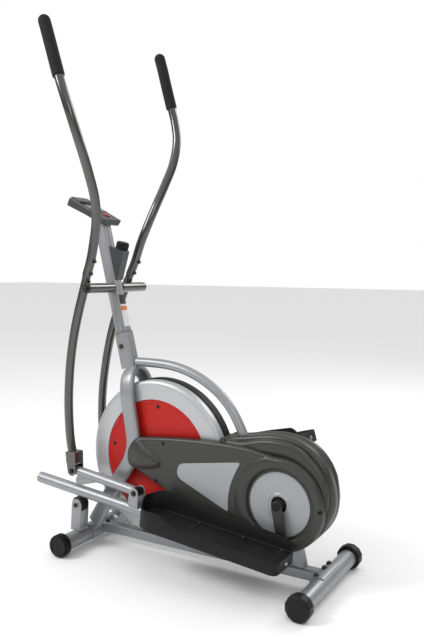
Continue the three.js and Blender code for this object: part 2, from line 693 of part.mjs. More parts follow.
function buildCovers() {
  const wall = 3;
  const face = -coverFaceY;
  const innerSide = -(wheelFaceY + 3);
  const wheelClear = (grow, y0, y1) => moved(disc(wheelR + 6 + grow, y0, y1, 44), wheelX, 0, wheelZ);

  const outer = solid(slab(faceOutline(0), face, innerSide, 8))
    .add(solid(cut(slab(bodyOutline(0, bladeRadii), -52, -GAP, 1), wheelClear(0, innerSide, 10))))
    .add(solid(cut(slab(bodyOutline(0, crestRadii), -34, -GAP, 1), wheelClear(0, -60, 10))));
  const inner = solid(slab(faceOutline(-wall), face + wall, innerSide - wall, 8))
    .add(solid(cut(slab(bodyOutline(-wall, bladeRadii), -52 + wall, 5, 1), wheelClear(wall,
      innerSide - wall, 10))))
    .add(solid(cut(slab(bodyOutline(-wall, crestRadii), -34 + wall, 5, 1), wheelClear(wall, -60, 10))));

  // The nose bulges outward round the fork leg and the flywheel's axle nut.
  const bulge = (grow) => new THREE.SphereGeometry(1, 14, 8)
    .scale(62 + grow, 20 + grow, 42 + grow).translate(-94, -60, 322);
  const innerSpace = box(-400, 400, -55, 80, 0, 700);
  const hump = solid(bulge(0)).subtract(solid(innerSpace));
  const humpRoom = solid(bulge(-wall)).subtract(solid(innerSpace));

  const wellBack = -coverFaceY + 9;
  const well = moved(disc(96, face - 5, wellBack, 32), crankX, 0, crankZ);
  const wellSkin = moved(disc(99, face, wellBack + wall, 32), crankX, 0, crankZ);
  const hubHole = moved(disc(22.5, -100, -30, 20), crankX, 0, crankZ);
  const wheelHub = moved(disc(24, -50, -30, 20), wheelX, 0, wheelZ);
  const legClear = swept([
    [-285, -legY, 90], [-226, -legY, 186], [-188, -legY, 240], [-156, -legY, 292], [-144, -legY, 340],
    [-149, -legY, 390], [-160, -legY, 450],
  ], roundedRect(legThick + 4, legWide + 4, 10), 10, 1);
  const postClear = box(330, 420, -16, 16, 90, 140);
  const braceClear = swept([
    [170, 0, 472], [196, 0, 430], [222, 0, 378], [262, 0, 312],
  ], circle(barR + 1.5), 8, 7);

  const shell = outer.add(hump).subtract(inner).subtract(humpRoom)
    .add(solid(wellSkin)).subtract(solid(well))
    .subtract(solid(hubHole)).subtract(solid(wheelHub)).subtract(solid(legClear))
    .subtract(solid(postClear)).subtract(solid(braceClear))
    .subtract(solid(brakeShoe(1))).subtract(solid(mirrored(brakeShoe(1))));
  const largest = shell.decompose().sort((a, b) => b.volume() - a.volume())[0];
  const cover = surface(largest);
  add('left_chain_cover', 'cover', cover);
  add('right_chain_cover', 'cover', mirrored(cover));

  const plug = moved(turned([
    [23, wellBack - 3], [30, wellBack - 3], [34, wellBack - 1.5], [90, wellBack - 1.5], [90,
      wellBack - GAP],
    [23, wellBack - GAP],
  ], 28), crankX, 0, crankZ);
  add('left_cover_disc', 'pale', plug);
  add('right_cover_disc', 'pale', mirrored(plug));

  const panel = new THREE.Shape();
  panel.moveTo(46, 312);
  panel.lineTo(228, 341);
  panel.quadraticCurveTo(234, 340, 231, 333);
  panel.quadraticCurveTo(190, 262, 197, 203);
  panel.quadraticCurveTo(196, 194, 188, 198);
  panel.lineTo(40, 262);
  panel.quadraticCurveTo(20, 274, 27, 294);
  panel.quadraticCurveTo(30, 309, 46, 312);
  const badge = slab(panel, face - GAP - 1.2, face - GAP, 8);
  add('left_cover_panel', 'pale', badge);
  add('right_cover_panel', 'pale', mirrored(badge));
}

// ---- console and tension control ----------------------------------------------------------
function buildConsole() {
  const half = 41;
  const side = new THREE.Shape(consoleCorners.map(([x, z]) => new THREE.Vector2(x, z)));
  const tilt = Math.atan2(1106 - 1032, 404 - 259);
  const across = (s0, s1, y0, y1, n0, n1) => box(-s1, -s0, y0, y1, n0,
    n1).rotateY(tilt).translate(-259, 0, 1032);
  const body = slab(side, -half, half);
  const windowCut = across(62, 138, -32, 32, -3, 10);
  const visor = joined(across(118, 160, -38, 38, -2, 5), across(118, 121, -38, 38, 3, 7));
  const buttonWell = new THREE.CylinderGeometry(1, 1, 14, 28).rotateX(Math.PI / 2)
    .scale(15, 9, 1).rotateY(tilt).translate(-259 - 34 * Math.cos(tilt), 0, 1032 + 34 * Math.sin(tilt));
  add('console_housing', 'graphite', cut(joined(body, visor), windowCut, buttonWell));
  add('console_window', 'black', across(62.5, 117, -31.5, 31.5, -2.6, -0.6));
  const button = new THREE.CylinderGeometry(1, 1, 7, 28).rotateX(Math.PI / 2)
    .scale(14.4, 8.4, 1).rotateY(tilt).translate(
      -259 - 34 * Math.cos(tilt) + 0.8 * Math.sin(tilt), 0,
        1032 + 34 * Math.sin(tilt) + 0.8 * Math.cos(tilt));
  add('console_button', 'red', button);
}

function buildTension() {
  const lean = 15 * DEG;
  const foot = [-238, 846];
  const group = limb(foot[0], foot[1], lean);
  const wedge = new THREE.Shape();
  wedge.moveTo(4, 0);
  wedge.lineTo(6, 92);
  wedge.lineTo(-62, 92);
  wedge.lineTo(-50, 60);
  wedge.lineTo(-2, -4);
  const housing = slab(wedge, -15, 15);
  const mastSolid = mastRoom(upperMast, 760, 330);
  group.updateMatrixWorld(true);
  const toLocal = group.matrixWorld.clone().invert();
  const pieces = solid(cut(housing, mastSolid.applyMatrix4(toLocal))).decompose();
  const largest = pieces.sort((a, b) => b.volume() - a.volume())[0];
  add('tension_housing', 'graphite', surface(largest), group);
  const knob = turned([[0, 0], [17, 0], [20, 2], [20, 20], [17.5, 23.5], [0, 24]],
    30).rotateX(Math.PI / 2);
  add('tension_knob', 'black', moved(knob, -14, 0, 92 + GAP), group);
}

function buildFasteners() {
  const sideBoltZ = 636;
  const bolt = turned([[0, 0], [8, 0], [8, -2], [5, -5.5], [0, -6.5]], 18);
  add('mast_side_bolt', 'black', moved(bolt, mastAt(sideBoltZ) - 4, -lowerMast[1] / 2 - GAP,
    sideBoltZ));
}

buildBase();
buildFork();
buildMast();
buildHandlebar('left', left);
buildHandlebar('right', right);
buildLink('left', left);
buildLink('right', right);
buildPedal('left', left);
buildPedal('right', right);
buildRoller('left');
buildRoller('right');
buildCrank();
buildFlywheel();
buildCovers();
buildConsole();
buildTension();
buildFasteners();

export default trainer;
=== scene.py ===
"""Elliptical trainer. Lengths are written in millimetres and become metres as each mesh is made."""
import math
from functools import partial

import bmesh
import bpy
import numpy as np
from mathutils import Matrix, Vector


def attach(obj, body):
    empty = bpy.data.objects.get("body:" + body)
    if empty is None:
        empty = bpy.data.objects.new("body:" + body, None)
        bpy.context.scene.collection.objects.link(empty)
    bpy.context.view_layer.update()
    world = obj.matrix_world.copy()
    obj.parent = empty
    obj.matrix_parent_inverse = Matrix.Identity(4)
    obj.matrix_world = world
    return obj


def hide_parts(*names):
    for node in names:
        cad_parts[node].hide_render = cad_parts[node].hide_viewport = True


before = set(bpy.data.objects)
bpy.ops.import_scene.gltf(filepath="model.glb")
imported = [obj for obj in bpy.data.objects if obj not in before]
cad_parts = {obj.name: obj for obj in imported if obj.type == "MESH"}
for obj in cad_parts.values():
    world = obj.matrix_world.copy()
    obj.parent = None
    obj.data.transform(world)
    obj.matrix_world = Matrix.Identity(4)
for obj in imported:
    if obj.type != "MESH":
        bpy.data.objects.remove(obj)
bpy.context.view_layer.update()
scene = bpy.context.scene
SIDES = {"left": -1, "right": 1}

# ---- Camera and studio -------------------------------------------------------------------
# A camera at chest height behind the machine's left shoulder, looking slightly down.
# White walls, three soft lamps and a pale floor that is not part of the machine.
YAW, PITCH, ROLL = 0.526927, 0.071919, 0.00695
CAMERA_PLACE, LENS, SENSOR_HEIGHT = (1.1455, -1.7946, 0.8807), 40.06, 36
HORIZON_LIGHT, OVERHEAD_LIGHT = 0.16, 0.95
LAMP_AIM, FLOOR_HALF, FLOOR_Z_METRES = (0, 0, 0.7), 30, -0.0005
DUST_COLOUR = (0.42, 0.41, 0.39, 1)

ahead = Vector((-math.sin(YAW) * math.cos(PITCH), math.cos(YAW) * math.cos(PITCH), -math.sin(PITCH)))
level = Vector((math.cos(YAW), math.sin(YAW), 0))
upward = level.cross(ahead)
right = level * math.cos(ROLL) + upward * math.sin(ROLL)
up = upward * math.cos(ROLL) - level * math.sin(ROLL)
camera = bpy.data.objects.new("camera", bpy.data.cameras.new("camera"))
camera.data.sensor_fit = "VERTICAL"
camera.data.sensor_height = SENSOR_HEIGHT
camera.data.lens = LENS
camera.matrix_world = Matrix.Translation(CAMERA_PLACE) @ Matrix((right, up, -ahead)).transposed().to_4x4()
scene.collection.objects.link(camera)
scene.camera = camera
scene.view_settings.view_transform = "Standard"


def fill(tree, target, values):
    """Each socket of target that values names is linked, if given another node's socket, or else set."""
    for label, value in values.items():
        if isinstance(value, bpy.types.NodeSocket):
            tree.links.new(value, target.inputs[label])
        else:
            target.inputs[label].default_value = value


def node(tree, kind, values=None, **settings):
    """The outputs of a new shader node, after its settings are made and its sockets filled."""
    made = tree.nodes.new(f"ShaderNode{kind}")
    for label, value in settings.items():
        setattr(made, label, value)
    fill(tree, made, values or {})
    return made.outputs


world = bpy.data.worlds.new("studio")
world.use_nodes = True
sky = world.node_tree
heading = node(sky, "SeparateXYZ", {0: node(sky, "TexCoord")["Generated"]})
overhead = node(sky, "MapRange", {"Value": heading["Z"], "From Min": -0.1, "From Max": 0.85,
                                  "To Min": HORIZON_LIGHT, "To Max": OVERHEAD_LIGHT}, interpolation_type="SMOOTHSTEP")
backdrop = node(sky, "Mix", {"Factor": node(sky, "LightPath")["Is Camera Ray"], "A": overhead["Result"], "B": 1.0})
fill(sky, sky.nodes["Background"], {"Color": (1, 1, 1, 1), "Strength": backdrop["Result"]})
scene.world = world


def soft_lamp(name, place, size, power):
    """A square area lamp at place, facing a point at the middle of the machine."""
    lamp = bpy.data.lights.new(name, "AREA")
    lamp.size = size
    lamp.energy = power
    holder = bpy.data.objects.new(name, lamp)
    aim = Vector(LAMP_AIM) - Vector(place)
    holder.matrix_world = Matrix.Translation(place) @ aim.to_track_quat("-Z", "Y").to_matrix().to_4x4()
    scene.collection.objects.link(holder)


soft_lamp("key_lamp", (-2.0, -2.4, 2.9), 1.5, 78)
soft_lamp("fill_lamp", (2.6, -2.6, 2.4), 1.4, 18)
soft_lamp("rim_lamp", (1.2, 2.8, 2.8), 1.6, 38)


def noise(tree, place, scale, detail, rough=0.5):
    """A noise texture read at a place in metres; its value runs from 0 to 1."""
    return node(tree, "TexNoise", {"Vector": place, "Scale": scale, "Detail": detail, "Roughness": rough})["Fac"]


def shader_group(name, numbers_in, numbers_out):
    """A new group that takes a Vector and those numbers, and its input's sockets."""
    group = bpy.data.node_groups.new(name, "ShaderNodeTree")
    group.interface.new_socket("Vector", in_out="INPUT", socket_type="NodeSocketVector")
    for way, labels in (("INPUT", numbers_in), ("OUTPUT", numbers_out)):
        for label in labels:
            group.interface.new_socket(label, in_out=way, socket_type="NodeSocketFloat")
    return group, group.nodes.new("NodeGroupInput").outputs


def speckle_group():
    """Fine speckle over broad mottling. Shade and Rough run about 0 to 1; Height drives a Bump node."""
    group, entry = shader_group("speckle", ("Fineness", "Mottle"), ("Shade", "Rough", "Height"))
    fine = noise(group, entry["Vector"], entry["Fineness"], 3)
    broad = noise(group, entry["Vector"], 9, 4, 0.6)
    streak = noise(group, entry["Vector"], 55, 3, 0.55)
    shade = node(group, "Mix", {"Factor": entry["Mottle"], "A": fine, "B": broad})["Result"]
    broad_share = node(group, "Math", {0: broad, 1: 0.4}, operation="MULTIPLY")[0]
    rough = node(group, "Math", {0: streak, 1: 0.6, 2: broad_share}, operation="MULTIPLY_ADD")[0]
    fill(group, group.nodes.new("NodeGroupOutput"), {"Shade": shade, "Rough": rough, "Height": fine})
    return group


def dust_group():
    """Dust settled on faces that look up, broken by noise: Mask is 0 on clean and up to 1 on dusty places."""
    group, entry = shader_group("settled_dust", ("Amount",), ("Mask",))
    facing = node(group, "SeparateXYZ", {0: node(group, "NewGeometry")["Normal"]})
    lift = node(group, "MapRange", {"Value": facing["Z"], "From Min": 0.25})["Result"]
    broken = noise(group, entry["Vector"], 38, 5, 0.65)
    patch = node(group, "MapRange", {"Value": broken, "From Min": 0.35, "From Max": 0.75})["Result"]
    both = node(group, "Math", {0: lift, 1: patch}, operation="MULTIPLY")[0]
    mask = node(group, "Math", {0: both, 1: entry["Amount"]}, operation="MULTIPLY")[0]
    fill(group, group.nodes.new("NodeGroupOutput"), {"Mask": mask})
    return group


SPECKLE = speckle_group()
DUST = dust_group()


def finish(name, dark, light, rough, metallic=0.0, fineness=900, mottle=0.3, bump=0.05, dust=0.1, coat=0.0,
           coat_rough=0.1, relief=0.0002, specular=0.5):
    """A material: colour runs dark to light with the speckle, roughness over the pair rough, dust pales
    what looks up."""
    material = bpy.data.materials.new(name)
    material.use_nodes = True
    tree = material.node_tree
    place = node(tree, "TexCoord")["Object"]
    grain = node(tree, "Group", {"Vector": place, "Fineness": fineness, "Mottle": mottle}, node_tree=SPECKLE)
    settled = node(tree, "Group", {"Vector": place, "Amount": dust}, node_tree=DUST)["Mask"]
    tone = node(tree, "Mix", {"Factor": grain["Shade"], "A": (*dark, 1), "B": (*light, 1)}, data_type="RGBA")
    dusty = node(tree, "Mix", {"Factor": settled, "A": tone["Result"], "B": DUST_COLOUR}, data_type="RGBA")
    gloss = node(tree, "MapRange", {"Value": grain["Rough"], "To Min": rough[0], "To Max": rough[1]})
    bumped = node(tree, "Bump", {"Strength": bump, "Distance": relief, "Height": grain["Height"]})
    fill(tree, tree.nodes["Principled BSDF"], {
        "Base Color": dusty["Result"], "Roughness": gloss["Result"], "Normal": bumped["Normal"],
        "Metallic": metallic, "Coat Weight": coat, "Coat Roughness": coat_rough, "Specular IOR Level": specular})
    return material


floor = bpy.data.objects.new("studio_floor", bpy.data.meshes.new("studio_floor"))
corners = [(x * FLOOR_HALF, y * FLOOR_HALF, FLOOR_Z_METRES) for x, y in ((-1, -1), (1, -1), (1, 1), (-1, 1))]
floor.data.from_pydata(corners, [], [(0, 1, 2, 3)])
floor.data.materials.append(
    finish("floor_paint", (0.95, 0.95, 0.95), (0.97, 0.97, 0.97), (0.6, 0.7), fineness=40, dust=0))
scene.collection.objects.link(floor)

# ---- Stabiliser tubes --------------------------------------------------------------------
# Two round steel tubes across the machine, painted metallic silver grey, open at the ends
# that the caps plug.
silver = finish("silver_paint", (0.25, 0.258, 0.268), (0.34, 0.35, 0.364), (0.38, 0.48), metallic=0.6,
                fineness=1500, mottle=0.25, bump=0.08, coat=0.25, coat_rough=0.16)
MM = 0.001
FRONT_X, REAR_X, FOOT_R, STAB_R, STAB_BORE = -317.0, 469.0, 34.3, 25, 23
STABILISERS = {"front": (FRONT_X, 177.2), "rear": (REAR_X, 171.2)}


def softened(points, radius, steps=4):
    """A polyline with each inner corner swapped for a short curve that leaves the sides radius before it."""
    points = np.asarray(points, float)
    out = [points[0]]
    for before, corner, after in zip(points[:-2], points[1:-1], points[2:]):
        reach_in = min(radius, 0.45 * np.linalg.norm(corner - before))
        reach_out = min(radius, 0.45 * np.linalg.norm(after - corner))
        start = corner + (before - corner) / max(np.linalg.norm(before - corner), 1e-9) * reach_in
        end = corner + (after - corner) / max(np.linalg.norm(after - corner), 1e-9) * reach_out
        t = np.linspace(0, 1, steps + 1)[:, None]
        out.extend((1 - t) ** 2 * start + 2 * t * (1 - t) * corner + t ** 2 * end)
    out.append(points[-1])
    return np.array(out)


def finished(name, mesh, material, body, replaces=(), sharp=35.0):
    """An object from a mesh in metres: one material, smooth but for edges over sharp degrees, riding on a
    body."""
    mesh.polygons.foreach_set("use_smooth", np.ones(len(mesh.polygons), bool))
    mesh.set_sharp_from_angle(angle=math.radians(sharp))
    mesh.materials.clear()
    mesh.materials.append(material)
    thing = bpy.data.objects.new(name, mesh)
    scene.collection.objects.link(thing)
    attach(thing, body)
    if replaces:
        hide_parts(*replaces)
    return thing


def piece(name, verts, faces, material, body, replaces=(), sharp=35.0):
    """A closed object from points in millimetres: doubles merged, ends filled, faces turned outward."""
    mesh = bpy.data.meshes.new(name)
    mesh.from_pydata((np.asarray(verts, float) * MM).tolist(), [], faces)
    work = bmesh.new()
    work.from_mesh(mesh)
    bmesh.ops.remove_doubles(work, verts=work.verts, dist=2e-6)
    bmesh.ops.dissolve_degenerate(work, edges=work.edges, dist=1e-6)
    bmesh.ops.holes_fill(work, edges=[edge for edge in work.edges if edge.is_boundary], sides=0)
    bmesh.ops.recalc_face_normals(work, faces=work.faces)
    work.to_mesh(mesh)
    work.free()
    return finished(name, mesh, material, body, replaces, sharp)


def ring_faces(rows, columns, closed_rows=False):
    """Quads of a grid whose columns close on themselves; with closed_rows the last row joins the first."""
    r = np.arange(rows if closed_rows else rows - 1)[:, None]
    c = np.arange(columns)[None, :]
    after, beside = (r + 1) % rows, (c + 1) % columns
    quads = np.stack([r * columns + c, after * columns + c, after * columns + beside, r * columns + beside], -1)
    return quads.reshape(-1, 4).tolist()


def turned(name, profile, centre, material, body, replaces=(), segments=96, wave=None, corner=0.8, sharp=35.0,
           sign=1):
    """Solid of revolution about a line along Y. profile is (radius, distance from the middle) pairs, and
    sign is its side; a point at angle t on it is centre + radius * (cos t, sin t) in X and Z.
    wave(t, profile) may change the radius round the turn."""
    shape = softened(profile, corner) * (1, sign)
    t = np.linspace(0, 2 * math.pi, segments, endpoint=False)
    radius = np.repeat(shape[:, :1], segments, 1)
    if wave is not None:
        radius = radius * wave(t[None, :], shape)
    y = np.repeat(shape[:, 1:], segments, 1)
    verts = np.stack([centre[0] + radius * np.cos(t), y, centre[1] + radius * np.sin(t)], -1).reshape(-1, 3)
    closed = bool(np.allclose(profile[0], profile[-1]) and profile[0][0] > 0)
    return piece(name, verts, ring_faces(len(shape), segments, closed), material, body, replaces, sharp)


for end, (x, half) in STABILISERS.items():
    tube = [(STAB_BORE, 0), (STAB_BORE, -half), (STAB_R, -half), (STAB_R, half), (STAB_BORE, half), (STAB_BORE, 0)]
    turned(f"{end}_stabiliser", tube, (x, FOOT_R), silver, "frame", [f"{end}_stabiliser_tube"])

# ---- End caps ----------------------------------------------------------------------------
# Moulded black caps. The front pair are ribbed rollers for wheeling the machine away; the
# rear pair are twelve-sided and level the machine as they are turned.
black_plastic = finish("black_plastic", (0.004, 0.004, 0.0045), (0.010, 0.010, 0.011), (0.4, 0.54), fineness=1300,
                       mottle=0.2, bump=0.25, dust=0.015, specular=0.24)
CAP_FACE, CAP_EDGE = 207.5, 1.4
CORNER_R = FOOT_R / math.cos(math.pi / 12)
ROLLER_CAP = [(0, 178), (27, 178), (32, 178), (FOOT_R, 181), (FOOT_R, 202), (30.5, CAP_FACE), (24, CAP_FACE),
              (22, CAP_FACE - 2.4), (8, CAP_FACE - 2.4), (6, CAP_FACE - 0.6), (0, CAP_FACE - 0.6)]
END_CAP = [(0, 172), (31, 172), (CORNER_R, 175), (CORNER_R, 200), (30.5, CAP_FACE - 1.5), (25, CAP_FACE - 1.5),
           (23.5, CAP_FACE), (0, CAP_FACE)]


def ribbed(t, shape):
    """Thirty-six ribs on the rim only: the radius dips by 7 parts in 100 in the narrow grooves between."""
    rim = (shape[:, :1] > FOOT_R - 4.5).astype(float)
    return 1 - 0.07 * rim * np.clip(1.6 * np.cos(36 * t) - 0.5, 0, 1)


def twelve_sided(t, shape):
    """A twelve-sided rim with flats at the bottom, blending to round where the radius is small."""
    side = (t + math.pi / 12 + math.pi / 2) % (math.pi / 6) - math.pi / 12
    flat = math.cos(math.pi / 12) / np.cos(side)
    rim = np.clip((shape[:, :1] - 20) / 8, 0, 1)
    return 1 + rim * (flat - 1)


for side, sign in SIDES.items():
    for name, profile, x, node_name, segments, wave in (
            ("roller_cap", ROLLER_CAP, FRONT_X, "transport_wheel", 432, ribbed),
            ("end_cap", END_CAP, REAR_X, "levelling_cap", 240, twelve_sided)):
        turned(f"{side}_{name}", profile, (x, FOOT_R), black_plastic, f"{side}_{node_name}",
               [f"{side}_{node_name}"], segments, wave, CAP_EDGE, sign=sign)

# ---- Saddles, base rail, crank post, roller brackets and crank arms -----------------------
# Pressed, bent and welded steel pieces, kept to the frame's own shapes with their edges
# softened as paint softens them, and the bolts that hold them.
black_paint = finish("black_steel", (0.006, 0.006, 0.007), (0.015, 0.015, 0.016), (0.26, 0.4), fineness=1100,
                     bump=0.1, coat=0.2, dust=0.02, specular=0.4)
bare_steel = finish("bare_steel", (0.34, 0.34, 0.35), (0.5, 0.5, 0.51), (0.22, 0.4), metallic=0.95, fineness=700,
                    bump=0.06)
REAR_BOLT_X, REAR_BOLT_Z, REAR_BOLT_LEAN = REAR_X - 11, FOOT_R + 26.6, (-0.42, 0, 1)
# A bolt's rows from foot to crown: radius and height as parts of its head's radius, and whether the row
# follows a hexagon.
BOLT_ROWS = [(0, 0, 0), (1.35, 0, 0), (1.35, 0.22, 0), (1.0, 0.22, 1), (1.0, 0.75, 1), (0.86, 0.95, 1),
             (0.5, 1.08, 0), (0, 1.12, 0)]


def soften_edges(thing, width, segments=2):
    """A live bevel, width millimetres wide, on every edge of more than 40 degrees."""
    bevel = thing.modifiers.new("softened_edges", "BEVEL")
    bevel.width = width * MM
    bevel.segments = segments
    bevel.limit_method = "ANGLE"
    bevel.angle_limit = math.radians(40)


def dressed(name, material, body, width):
    """A copy of a frame solid with its loose triangles merged, its flat faces made whole and its edges
    bevelled."""
    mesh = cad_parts[name].data.copy()
    work = bmesh.new()
    work.from_mesh(mesh)
    bmesh.ops.remove_doubles(work, verts=work.verts, dist=1e-5)
    bmesh.ops.dissolve_limit(work, angle_limit=math.radians(1), verts=work.verts, edges=work.edges)
    work.to_mesh(mesh)
    work.free()
    thing = finished(f"{name}_dressed", mesh, material, body, [name], 32)
    if width:
        soften_edges(thing, width)


for name in ("front_saddle", "rear_saddle", "base_rail", "crank_post", "crank_bearing_shell",
             "left_roller_bracket", "right_roller_bracket"):
    dressed(name, silver, "frame", 0.6)
for side in SIDES:
    dressed(f"{side}_crank_arm", black_paint, "crank", 1.2)
dressed("crank_spindle", bare_steel, "crank", 0.5)
dressed("flywheel_axle", bare_steel, "frame", 0.5)
dressed("handlebar_axle", black_paint, "frame", 0.5)
dressed("mast_side_bolt", black_paint, "frame", 0.4)


def bolt(name, place, outward, radius, body="frame", hexagon=False, material=black_paint):
    """A bolt head on a washer, standing along outward from place: a dome, or a hexagon with rounded corners.
    A row of a hexagon has the radius r cos(60/2) / cos(angle from the middle of its flat)."""
    turn = Vector(outward).normalized().to_track_quat("Z", "Y").to_matrix()
    sides = 6 if hexagon else 24
    t = np.linspace(0, 2 * math.pi, 48, endpoint=False)
    flat = math.cos(math.pi / sides) / np.cos((t % (2 * math.pi / sides)) - math.pi / sides)
    rings = [np.stack([r * radius * (flat if hexed else 1) * np.cos(t),
                       r * radius * (flat if hexed else 1) * np.sin(t), np.full_like(t, h * radius)], -1)
             for r, h, hexed in BOLT_ROWS]
    verts = np.concatenate(rings) @ np.array(turn).T + np.array(place, float)
    piece(name, verts, ring_faces(len(BOLT_ROWS), len(t)), material, body)


for name, y in (("left_rear_saddle_bolt", -47), ("right_rear_saddle_bolt", 47), ("rear_rail_bolt", 12)):
    bolt(name, (REAR_BOLT_X, y, REAR_BOLT_Z), REAR_BOLT_LEAN, 6.5)
bolt("front_rail_bolt", (-286, 0, 57.2), (0, 0, 1), 6)

# ---- Fork legs and rear brace ------------------------------------------------------------
# Flat-oval tubes that pass either side of the flywheel and meet under the mast, and the
# round tube that runs from the mast's foot over the flywheel into the covers.
LEG_Y, LEG_WIDE, LEG_THICK, DROPOUT_Y, BRACE_R = 52.0, 48.0, 22.0, 58, 14
LEG_PATH = [(-296, 72), (-262, 126), (-226, 186), (-188, 240), (-156, 292), (-144, 340), (-149, 390), (-160, 450),
            (-168, 505)]
LEG_TOP = [(-174, 12, 542), (-180, 34, 562), (-182, 52, 566)]
DROPOUT_PATH = [(-150, 322), (-110, 311), (-73.5, 302)]
BRACE_PATH = [(-168, 0, 589), (-120, 0, 589.5), (-60, 0, 588), (-10, 0, 581), (40, 0, 566), (90, 0, 542),
              (135, 0, 510), (170, 0, 472), (196, 0, 430), (222, 0, 378), (262, 0, 312), (305, 0, 268),
              (327, 0, 254)]


def curve_through(points, count):
    """count points, evenly spaced along a smooth curve through all the given points: between two of them it
    is the cubic whose end slopes come from their neighbours, weighted by the root of the distance."""
    p = np.asarray(points, float)
    p = np.vstack([2 * p[0] - p[1], p, 2 * p[-1] - p[-2]])
    gap = np.maximum(np.linalg.norm(np.diff(p, axis=0), axis=1) ** 0.5, 1e-6)[:, None]
    a, b, c, d = p[:-3], p[1:-2], p[2:-1], p[3:]
    g0, g1, g2 = gap[:-2], gap[1:-1], gap[2:]
    start = ((b - a) / g0 - (c - a) / (g0 + g1) + (c - b) / g1) * g1
    end = ((c - b) / g1 - (d - b) / (g1 + g2) + (d - c) / g2) * g1
    t = np.linspace(0, 1, 24, endpoint=False)[None, :, None]
    b, c, start, end = (v[:, None, :] for v in (b, c, start, end))
    dense = ((2 * t ** 3 - 3 * t ** 2 + 1) * b + (t ** 3 - 2 * t ** 2 + t) * start
             + (3 * t ** 2 - 2 * t ** 3) * c + (t ** 3 - t ** 2) * end)
    dense = np.vstack([dense.reshape(-1, 3), p[-2]])
    run = np.concatenate([[0], np.cumsum(np.linalg.norm(np.diff(dense, axis=0), axis=1))])
    even = np.linspace(0, run[-1], count)
    return np.stack([np.interp(even, run, dense[:, k]) for k in range(3)], -1)


def swept(name, line, section, material, body, replaces=(), widths=1.0):
    """A section carried along a line. Each ring stands square to the line, with the section's first axis
    along Y made square to the line. widths scales each ring. Both ends are closed by a flat fan."""
    along = np.gradient(line, axis=0)
    along /= np.linalg.norm(along, axis=1)[:, None]
    side = np.array([0.0, 1.0, 0.0]) - along[:, 1:2] * along
    side /= np.linalg.norm(side, axis=1)[:, None]
    other = np.cross(along, side)
    scale = (np.ones(len(line)) * widths)[:, None, None]
    spread = section[None, :, :1] * side[:, None, :] + section[None, :, 1:] * other[:, None, :]
    tips = [np.repeat(line[at, None, :], len(section), 1) for at in (slice(0, 1), slice(-1, None))]
    rings = np.concatenate([tips[0], line[:, None, :] + scale * spread, tips[1]])
    piece(name, rings.reshape(-1, 3), ring_faces(len(rings), len(section)), material, body, replaces)


def round_section(radius, count=40):
    """A circle of that radius."""
    t = np.linspace(0, 2 * math.pi, count, endpoint=False)
    return radius * np.stack([np.cos(t), np.sin(t)], -1)


def oval_section(width, height, power):
    """A superellipse: |x / half width| to the power plus |y / half height| to the power is 1."""
    t = np.linspace(0, 2 * math.pi, 56, endpoint=False)
    return np.stack([half * np.sign(v) * abs(v) ** (2 / power)
                     for half, v in ((width / 2, np.cos(t)), (height / 2, np.sin(t)))], -1)


for side, sign in SIDES.items():
    route = [(x, sign * LEG_Y, z) for x, z in LEG_PATH]
    route += [(x, sign * (LEG_Y - inward), z) for x, inward, z in LEG_TOP]
    swept(f"{side}_leg", curve_through(route, 90), oval_section(LEG_THICK, LEG_WIDE, 3.2), silver, "frame",
          [f"{side}_fork_leg"])
    drop_out = curve_through([(x, sign * DROPOUT_Y, z) for x, z in DROPOUT_PATH], 12)
    swept(f"{side}_dropout", drop_out, oval_section(4, 44, 4), silver, "frame", (), np.linspace(1, 0.75, 12))
swept("brace", curve_through(BRACE_PATH, 110), round_section(BRACE_R), silver, "frame", ["brace_tube"])

# ---- Mast --------------------------------------------------------------------------------
# Two telescoping oval tubes that lean forward, locked by a side bolt, with a blank
# instruction label on the back of the upper one.
MAST_FOOT, MAST_LEAN = (-193.0, 567.0), 0.2455
mast_back = np.array([1, 0, MAST_LEAN]) / math.hypot(MAST_LEAN, 1)
MAST_TUBES = (("mast_lower_tube", 569, 678, 12, (43, 54, 3.4), silver, ["mast_lower"]),
              ("mast_upper_tube", 600, 1037, 12, (37, 48, 3.0), silver, ["mast_upper"]),
              ("mast_collar_seam", 676.5, 679.5, 4, (41.5, 52.5, 3.4), black_paint, ()))
# The label is the middle LABEL_SHARE of the upper tube's back, lifted off it by a hair.
MAST_HALF, LABEL_SHARE, LABEL_THICK = (18.5, 24.15), 0.78, 0.35
LABELS = (("label_sheet", 694, 762, 0.1, (0.66, 0.66, 0.65), (0.74, 0.74, 0.73), (0.5, 0.6)),
          ("label_stripe", 744, 757, 0.25, (0.62, 0.14, 0.03), (0.70, 0.18, 0.05), (0.45, 0.55)),
          ("label_head", 764, 792, 0.1, (0.02, 0.02, 0.022), (0.035, 0.035, 0.037), (0.45, 0.55)))
LABEL_PAPER = {"label_sheet": "label_paper", "label_stripe": "label_orange", "label_head": "label_black"}


def mast_point(z, back=0.0, aside=0.0):
    """The point of the mast's leaning centre line at height z, moved back square to it and aside along Y."""
    return np.array([MAST_FOOT[0] - MAST_LEAN * (z - MAST_FOOT[1]), aside, z]) + back * mast_back


